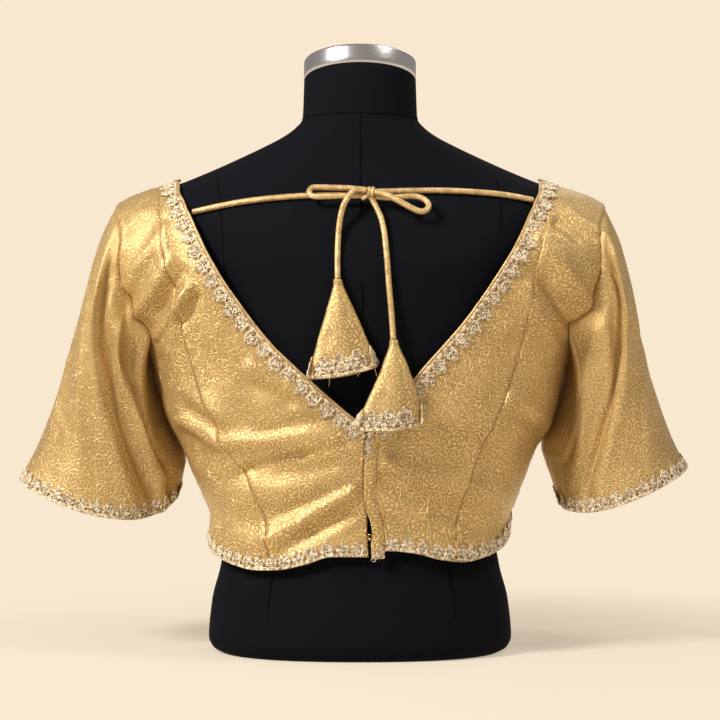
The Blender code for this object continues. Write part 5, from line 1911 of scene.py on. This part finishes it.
@dataclass(frozen=True)
class Stitching:
    """Rows of small thread stitches."""

    length: float = 1.9
    radius: float = 0.22
    step: float = 2.9

    def sizes(self) -> dict[str, float | int]:
        """The tree's named sizes, in metres."""
        return {"Length": self.length * MM, "Radius": self.radius * MM}

    def stitch(self, graph: Graph, size: Size) -> Wire:
        """One stitch, a long bead of thread along Y."""
        ball = graph.get("GeometryNodeMeshUVSphere", {"Segments": 6, "Rings": 4, "Radius": 1.0})
        half = graph.join(size("Radius"), size("Length") * 0.5, size("Radius"))
        return graph.transform(ball, Scale=half)

    def row(self, line: Array, outward: Array, finish: Material) -> Mesh:
        """Stitches along a line.

        Args:
            line: Points along it, in millimetres.
            outward: Directions out of the cloth.
            finish: The thread.

        Returns:
            The mesh.
        """
        spots, _ = resample(np.hstack([line, outward]), self.step)
        ahead, _, _ = frames_along(spots[:, :3])
        return sew_on_points(
            "stitches", self.sizes(), self.stitch, finish, (spots[:, :3] * MM, ahead, unit(spots[:, 3:]))
        )


# The neckline and the hem
def trunk(points: Array) -> Array:
    """The middle of the body behind points, lower down for the shoulders."""
    return columns(points[:, 0] * 0.5, 5.0, np.minimum(points[:, 2], 330))


@dataclass
class Trims:
    """The neckline's piping and lace, and the lace of the hems."""

    v_row: float = 6.1
    front_row: int = ROWS - len(FRONT_NECK)
    neck_pitch: float = 14.6
    hem_pitch: float = 12.6
    piping_out: float = 1.0

    def neckline(self) -> tuple[Array, Array]:
        """Points along the neckline, and points further into the cloth."""
        halves = []
        for back, front in ((BACK_LEFT, FRONT_LEFT), (BACK_RIGHT, FRONT_RIGHT)):
            line, inner = back.edge(0, self.v_row, ROWS, 110)
            low, _ = front.edge(0, ROWS, self.front_row, 60)
            under = low + np.array((3.5 * front.side.value, 0, -10))
            halves.append((np.vstack([line, low[1:]]), np.vstack([inner, under[1:]])))
        (left, left_in), (right, right_in) = halves
        return np.vstack([left, right[-2::-1]]), np.vstack([left_in, right_in[-2::-1]])

    def make(self, surface: ClothTree) -> list[Piece]:
        """The piping and the lace of neckline and hem."""
        lace = Lace()
        edge, inner = self.neckline()
        pieces = [lace.sew("neck_lace", edge, inner, edge - trunk(edge), surface, self.neck_pitch)]
        line, _ = resample(edge - into_cloth(edge, inner) * self.piping_out, 3.0)
        piping = link("neck_piping_roll", tube_mesh("neck_piping_roll", line, PIPING_RADIUS, 10))
        pieces.append(dress(piping, PIPING.material(), Slot.PIPING, "neck_piping"))
        hem, hem_in = [], []
        for panel, backwards, count in (
            (BACK_LEFT, False, 30), (BACK_LEFT_SIDE, False, 30), (FRONT_LEFT, True, 60),
            (FRONT_RIGHT, False, 60), (BACK_RIGHT_SIDE, True, 30), (BACK_RIGHT, True, 30),
        ):
            line, up = panel.hem_line(count, backwards)
            hem.append(line[1:])
            hem_in.append(up[1:])
        hem[-1], hem_in[-1] = hem[-1][:-4], hem_in[-1][:-4]
        edge, inner = np.vstack(hem), np.vstack(hem_in)
        pieces.append(lace.sew("hem_lace", edge, inner, edge - trunk(edge), surface, self.hem_pitch))
        return pieces


# The closure
@dataclass
class Closure:
    """The band on the right centre back, the flap behind it, the last hook, its eyelet and a bead."""

    width: float = 9.4
    below_hem: float = 6.0
    top_row: float = 6.0
    hook_radius: float = 1.55
    flap_depth: float = 2.2
    flap_reach: tuple[float, float] = (0.5, 11.0)
    end_motif: LaceMotif = LaceMotif(petals=4, petal_length=4.4, reach=2.4, spread=2.8)
    end_scale: float = 0.62
    end_rise: float = 1.1

    def right_back(self, row: Array, from_edge: Array, rise: Value) -> Array:
        """Points of the right half at distances from its inner edge, moved out by rise."""
        panel = BACK_RIGHT
        ends = [
            cloth_point(panel.side, *panel.places(row, np.full(np.shape(row), share))) for share in (0.0, 0.2)
        ]
        share = from_edge / np.linalg.norm(ends[1] - ends[0], axis=-1) * 0.2
        turn, height = panel.places(row, share)
        point = cloth_point(panel.side, turn, height)
        return point + cloth_normal(panel.side, folded(turn), height) * np.asarray(rise)[..., None]

    def strip(self, node: str, points: Array, wall: float) -> Piece:
        """A strip of brocade that faces the viewer.

        Args:
            node: The CAD node that it replaces.
            points: Its grid of points.
            wall: Its thickness.

        Returns:
            The piece.
        """
        flat = columns(travelled(points, 1), travelled(points, 0)) * MM
        facing = np.broadcast_to(TO_VIEWER, points.shape)
        piece = link(f"{node}_cloth", grid_mesh(f"{node}_cloth", points, flat, facing))
        thicken(piece, wall)
        return dress(piece, BROCADE.material(), Slot.BROCADE, node)

    def make(self) -> list[Piece]:
        """The pieces of the closure."""
        rows, share = np.meshgrid(np.linspace(0, self.top_row, 86), np.linspace(0, 1, 17), indexing="ij")
        start = 0.3 - 1.3 * ease(rows, 1.5, 2.3) - 2.0 * (1 - ease(rows, 0.4, 1.0))
        crown = mix(1.9, 0.25, share**3) + 0.35 * np.sin(np.pi * share) + 0.3 * ease(1.6 - rows, 0, 1.6)
        points = self.right_back(rows, mix(start, self.width, share), crown)
        points += uneven(points, 9, 2.2)[..., None] * np.array((0.0, 0.22, 0))
        down = unit(points[0] - points[3])
        lower = [points[0] + down * self.below_hem * share for share in (1.0, 0.7, 0.35)]
        points = np.concatenate([np.array(lower), points])
        band = self.strip("placket_band", points, BAND_WALL)
        ends = self.lace_ends(points)
        under = self.strip("underflap", self.flap(), CLOTH_WALL)
        return [band, under, self.hook(), self.stitches(), ends]

    def flap(self) -> Array:
        """The grid of the flap, from under the left half to under the band."""
        rows, share = np.meshgrid(np.linspace(2, 6, 50), np.linspace(0, 1, 15), indexing="ij")
        inner, outer = (
            self.right_back(rows, np.full(rows.shape, out), -self.flap_depth) for out in self.flap_reach
        )
        left = cloth_point(Side.LEFT, *BACK_LEFT.places(rows, np.zeros(rows.shape)))
        far = columns(left[..., 0] - 7, np.maximum(left[..., 1], inner[..., 1]) + 1.2, left[..., 2])
        near = share[..., None] * 2
        return np.where(near < 1, mix(far, inner, near), mix(inner, outer, near - 1))

    def lace_ends(self, band: Array) -> Piece:
        """The neck lace's end, turned down along the band's edge, and the hem lace's on its tip.

        Args:
            band: The band's grid of points, from its tip upwards.

        Returns:
            The piece.
        """
        spots = np.vstack([band[-14::4, 0], band[[4, 2, 0], [-2, -5, -9]]]) + TO_VIEWER * self.end_rise
        into = unit(np.array([(1.0, 0, 0)] * 4 + [(-1.0, 0, 0.25), (-0.75, 0, 0.66), (-0.35, 0, 0.94)]))
        places = spots * MM, into, np.broadcast_to(TO_VIEWER, spots.shape)
        parts = self.end_motif.parts(places, self.end_scale)
        return dress(join_parts("lace_ends", parts), TWINE.material(), Slot.LACE)

    def hook(self) -> Piece:
        """The last hook's bead and its wire loop."""
        low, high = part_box("hook")
        centre = np.array([(a + b) / 2 for a, b in zip(low, high)]) / MM
        ball = ball_mesh("bead", centre, (self.hook_radius,) * 3)
        angle = np.linspace(0, 2 * np.pi, 25)[:-1]
        wire = centre + columns(1.5 * np.cos(angle), 0.2, 2.1 * np.sin(angle) + 2.2)
        loop = tube_mesh("wire", wire, 0.35, 6, ring=True)
        piece = join_parts("hook_brass", [(ball, BRASS.material()), (loop, BRASS.material())])
        return dress(piece, BRASS.material(), Slot.HOOK, "hook")

    def stitches(self) -> Piece:
        """Stitches down both edges of the band, and a stray amber bead."""
        rows = np.linspace(0.1, 5.0, 60)
        parts = []
        thread = GOLD_THREAD.material()
        for from_edge in (1.5, self.width - 1.0):
            line = self.right_back(rows, np.full(60, from_edge), 3.0)
            parts.append((Stitching().row(line, np.broadcast_to(TO_VIEWER, line.shape), thread), thread))
        bead = self.right_back(np.array([1.15]), np.array([25.5]), 1.6)[0]
        parts.append((ball_mesh("amber", bead, (1.1, 0.9, 1.1), around=10), AMBER.material()))
        return dress(join_parts("closure_sewing", parts), thread, Slot.PIPING)


# The cords, the bow and the tassels
@dataclass(frozen=True)
class CordRoute:
    """A cord of the bow: its route across the back, and its real length in metres."""

    node: str
    length: float
    points: Route
    lay: str
    far_end: str


CORD_ROUTES = (
    CordRoute("cord_span_left", 0.1515, (
        (-143.6, 384.4, 3.4), (-118, 389.7, 2.9), (-90, 394, 2.9), (-56, 397, 2.9), (-24, 398, 2.9),
        (4.6, 398.6, 3.0),
    ), "taut", "knot"),
    CordRoute("cord_span_right", 0.1385, (
        (149.0, 395.4, 3.6), (128, 399, 2.9), (107, 401, 2.9), (75, 402.4, 2.9), (43, 402, 2.9),
        (13.2, 401, 3.0),
    ), "taut", "knot"),
    CordRoute("cord_loop_left", 0.103, (
        (4.6, 402.2, 8.4), (-10, 403.6, 8.4), (-24, 404.2, 8.4), (-33, 404.4, 8.5), (-39.0, 404.4, 8.8),
        (-42.0, 403.2, 9.1), (-43.2, 400.2, 9.6), (-42.0, 397.2, 10.1), (-39.0, 396.0, 10.4),
        (-33, 395.8, 10.4), (-24, 396.0, 10.2), (-10, 396.4, 10.0), (4.6, 396.8, 9.8),
    ), "loose", "knot"),
    CordRoute("cord_loop_right", 0.108, (
        (13.2, 395.9, 8.4), (23.5, 394.9, 8.4), (34, 395.6, 8.4), (44.5, 396.4, 8.4), (52.8, 394.6, 8.6),
        (57.8, 390.2, 9.2), (57.4, 385.2, 10.0), (52.0, 382.6, 11.0), (44.0, 385.4, 12.6),
        (32.1, 392.0, 14.2), (23.5, 396.6, 14.4), (13.2, 399.4, 14.0),
    ), "loose", "knot"),
    CordRoute("cord_tail_left", 0.093, (
        (4.8, 400.8, 15.2), (-1.0, 401.8, 15.8), (-6.0, 399.8, 16.0), (-11.0, 393.5, 15.4),
        (-15.0, 384.5, 12.0), (-17.6, 371, 6.6), (-18.6, 356, 3.6), (-19, 340, 3.1), (-18.8, 325.6, 4.0),
    ), "hanging", "fitting"),
    CordRoute("cord_tail_right", 0.127, (
        (8.6, 396.6, 9.6), (11.0, 392.4, 7.6), (14.8, 385.0, 5.2), (18.0, 377, 4.4), (20.6, 364, 3.7),
        (22.6, 344, 3.5), (24.4, 320, 3.8), (26.4, 297, 5.2), (28.0, 274.6, 7.4),
    ), "hanging", "fitting"),
)


@dataclass
class Bow:
    """The tied cords: two spans, two loops, two tails and the knot that they meet in."""

    knot_place: tuple[float, float, float] = (8.9, 399.4, 9.0)
    wrap: float = 1.95
    wrap_half: tuple[float, float] = (5.9, 3.5)
    wrap_lean: float = 0.5
    cords: dict[str, tuple[Piece, Array]] = field(default_factory=dict)
    knot: Piece = field(init=False)

    def make(self, surface: ClothTree) -> None:
        """The cords and the knot, laid off the form as the solids are."""
        for route in CORD_ROUTES:
            line = smooth_route(np.array([surface.stand(*place) for place in route.points]), 9)
            line, _ = resample(line, 1.6)
            name = f"{route.node}_cord"
            piece = link(name, tube_mesh(name, line, CORD_RADIUS, 14))
            dress(piece, CORD.material(), Slot.BROCADE, route.node)
            self.cords[route.node] = (piece, line)
            LOG.info("%s: %.4f m", route.node, travelled(line, 0)[-1] * MM)
        centre = surface.stand(*self.knot_place)
        parts = [(ball_mesh("heart", centre, (3.0, 6.4, 4.2), 0.8), CORD.material())]
        angle = np.linspace(0, 2 * np.pi, 33)[:-1]
        deep, high = self.wrap_half
        for shift in (-1.7, 1.7):
            ring = centre + columns(
                shift + self.wrap_lean * np.sin(angle), deep * np.cos(angle), high * np.sin(angle)
            )
            parts.append((tube_mesh("wrap", ring, self.wrap, 10, ring=True), CORD.material()))
        start = centre + (-1.5, -3.0, -1.5)
        stub = smooth_route(np.array([start, start + (-2.6, -1.2, -2.2), start + (-5.6, -0.6, -4.0)]), 6)
        parts.append((tube_mesh("stub", stub, 1.9, 10), CORD.material()))
        self.knot = dress(join_parts("bow_knot_wrap", parts), CORD.material(), Slot.BROCADE, "bow_knot")

    def declare(self, ends: dict[str, list[Piece]]) -> None:
        """Goes through the cords and the pieces at their tails' ends, doing nothing with them.

        Args:
            ends: The pieces at the far end of each tail, by node.
        """
        for route in CORD_ROUTES:
            piece, line = self.cords[route.node]
            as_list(ends.get(route.node, [self.knot]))


@dataclass
class Tassel:
    """A folded cloth tassel hung from its cord, with lace round its open end."""

    side: Side
    apex: tuple[float, float, float]
    end: tuple[float, float, float]
    drop: float
    bow: float
    cut: Cut
    yaw: float = 0.0
    sag: float = 2.6
    sections: Table = Table("down half_width half_depth", [
        (0.0, 2.9, 2.9), (0.05, 3.3, 3.0), (0.12, 5.2, 3.6), (0.31, 10.6, 5.0), (0.64, 19.8, 6.6),
        (0.83, 24.4, 7.7), (1.0, 27.8, 8.6),
    ])
    ripple: float = 0.75
    around: int = 84
    down: int = 44
    motif: LaceMotif = LaceMotif(
        petal_length=7.4, petal_width=5.6, ring=2.9, reach=5.6, side_ring=3.0, cord=0.52
    )
    lace_pitch: float = 14.6
    cloth: Piece = field(init=False)
    lace: Piece = field(init=False)
    extras: Piece = field(init=False)

    def axis(self, down: Array) -> tuple[Array, Array]:
        """Across and depth of the straight line from the apex to the open end."""
        return mix(self.apex[0], self.end[0], down), -mix(self.apex[1], self.end[1], down)

    def point(self, around: Array, down: Array, out: Value = 0.0) -> Array:
        """Points of the cone: around once from its left edge over the outer face, down from its apex."""
        angle = 2 * np.pi * around
        width = self.sections.at("half_width", down) + out
        depth = self.sections.at("half_depth", down) + out
        across, forth = -width * np.cos(angle), -depth * np.sin(angle)
        turn = self.yaw * down
        x, y = self.axis(down)
        sag = self.sag * down**3 * np.sin(angle) ** 2
        return columns(
            x + 4 * self.bow * down * (1 - down) + across * np.cos(turn) - forth * np.sin(turn),
            y + forth * np.cos(turn) + across * np.sin(turn),
            mix(self.apex[2], self.end[2], down) + self.drop * across * down - sag,
        )

    def make(self) -> None:
        """The cone of cloth, its binding, its lace and a few loose threads."""
        around, down = np.meshgrid(np.linspace(0, 1, self.around + 1), np.linspace(0, 1, self.down + 1))
        plain = self.point(around, down)
        ripple = self.ripple * down * (1 - 0.55 * ease(down, 0.8, 1.0))
        folds_in = np.sin(2 * np.pi * (around * 4 + 0.13)) * ripple
        seam = -0.9 * np.exp(-(((around - 0.31 - 0.05 * down) * 26) ** 2)) * ease(down, 0.0, 0.25)
        points = self.point(around, down, folds_in + seam + uneven(plain, 11, 5.5) * 0.5 * ease(down, 0, 0.2))
        girth, upward = travelled(plain, 1), travelled(plain, 0)
        flat = columns(girth - girth[:, -1:] / 2, -upward) * MM
        axis = columns(*self.axis(down), plain[..., 2])
        name = f"tassel_{self.side.word}"
        mesh = grid_mesh(f"{name}_cloth", points, flat, plain - axis, ring=True)
        surface = ClothTree([mesh])
        self.cloth = link(f"{name}_cloth", mesh)
        log_area(name, mesh)
        thicken(self.cloth, CLOTH_WALL)
        dress(self.cloth, BROCADE.material(), Slot.BROCADE, name)
        turn = np.linspace(0, 1, 73)[:-1]
        edge, inner = self.point(turn, np.full(72, 0.995)), self.point(turn, np.full(72, 0.9))
        middle = np.array((self.end[0], -self.end[1], 0))
        self.lace = Lace(self.motif).sew(
            f"tassel_lace_{self.side.word}", edge, inner, (edge - middle) * (0.3, 1, 0), surface,
            self.lace_pitch, ring=True,
        )
        self.extras = self.threads(name)

    def threads(self, name: str) -> Piece:
        """The binding round the apex and a few loose threads of the lace."""
        turn = np.linspace(0, 1, 33)[:-1]
        thread = GOLD_THREAD.material()
        parts = []
        for down in (0.015, 0.032, 0.049):
            ring = self.point(turn, np.full(32, down), 0.5)
            parts.append((tube_mesh("binding", ring, 0.42, 6, ring=True), thread))
        for number, place in enumerate((0.07, 0.19, 0.33, 0.44)):
            start = self.point(np.array([place]), np.array([1.0]), 1.2)[0]
            drop = 5.0 + 2.5 * math.sin(number * 2.3)
            end = start + (1.8 * math.cos(number * 1.9), -1.0, -drop)
            bend = (start + end) / 2 + (1.2 * math.sin(number * 3.1), -1.5, 0)
            line = smooth_route(np.array([start, bend, end]), 5)
            parts.append((tube_mesh("thread", line, 0.2, 5), thread))
        return dress(join_parts(f"{name}_threads", parts), thread, Slot.BROCADE)

    def declare(self) -> list[Piece]:
        """Gives the pieces that hang from the cord."""
        return [self.cloth, self.lace, self.extras]


TASSELS = [
    Tassel(Side.LEFT, (-18.8, 105.4, 325.0), (-14.6, 109.2, 245.6), 0.17, 0.8, Cut(0.124, 0.087, 0.006)),
    Tassel(
        Side.RIGHT, (28.2, 106.6, 274.0), (22.4, 116.9, 199.8), 0.06, 3.4, Cut(0.123, 0.084, 0.0057), 0.22
    ),
]


def surface_of(node: str) -> ClothTree:
    """The search tree of a CAD node's own surface."""
    return ClothTree([bpy.data.objects[node].data])


def main() -> None:
    """Builds everything in order and says how large it came out."""
    logging.basicConfig(level=logging.INFO, format="%(name)s %(message)s")
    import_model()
    studio = Studio()
    studio.set_camera()
    form_surface = surface_of("form_torso")
    bow = Bow()
    bow.make(form_surface)
    form = DressForm()
    jersey = form.torso()
    form.cap()
    form.seam_lines(ClothTree([jersey.data]))
    bodice = Bodice()
    cloth = bodice.make()
    trims = Trims().make(cloth)
    trims += Closure().make()
    bodice.declare(trims)
    for sleeve in SLEEVES:
        surface = sleeve.make()
        edge, inner, outward = sleeve.hem_edge()
        lace = Lace().sew(f"sleeve_lace_{sleeve.side.word}", edge, inner, outward, surface, 12.8, ring=True)
        sleeve.declare(lace)
    ends = {}
    for tassel in TASSELS:
        tassel.make()
        ends[f"cord_tail_{tassel.side.word}"] = tassel.declare()
    bow.declare(ends)
    studio.set_floor()
    studio.light_up()


if __name__ == "__main__":
    main()
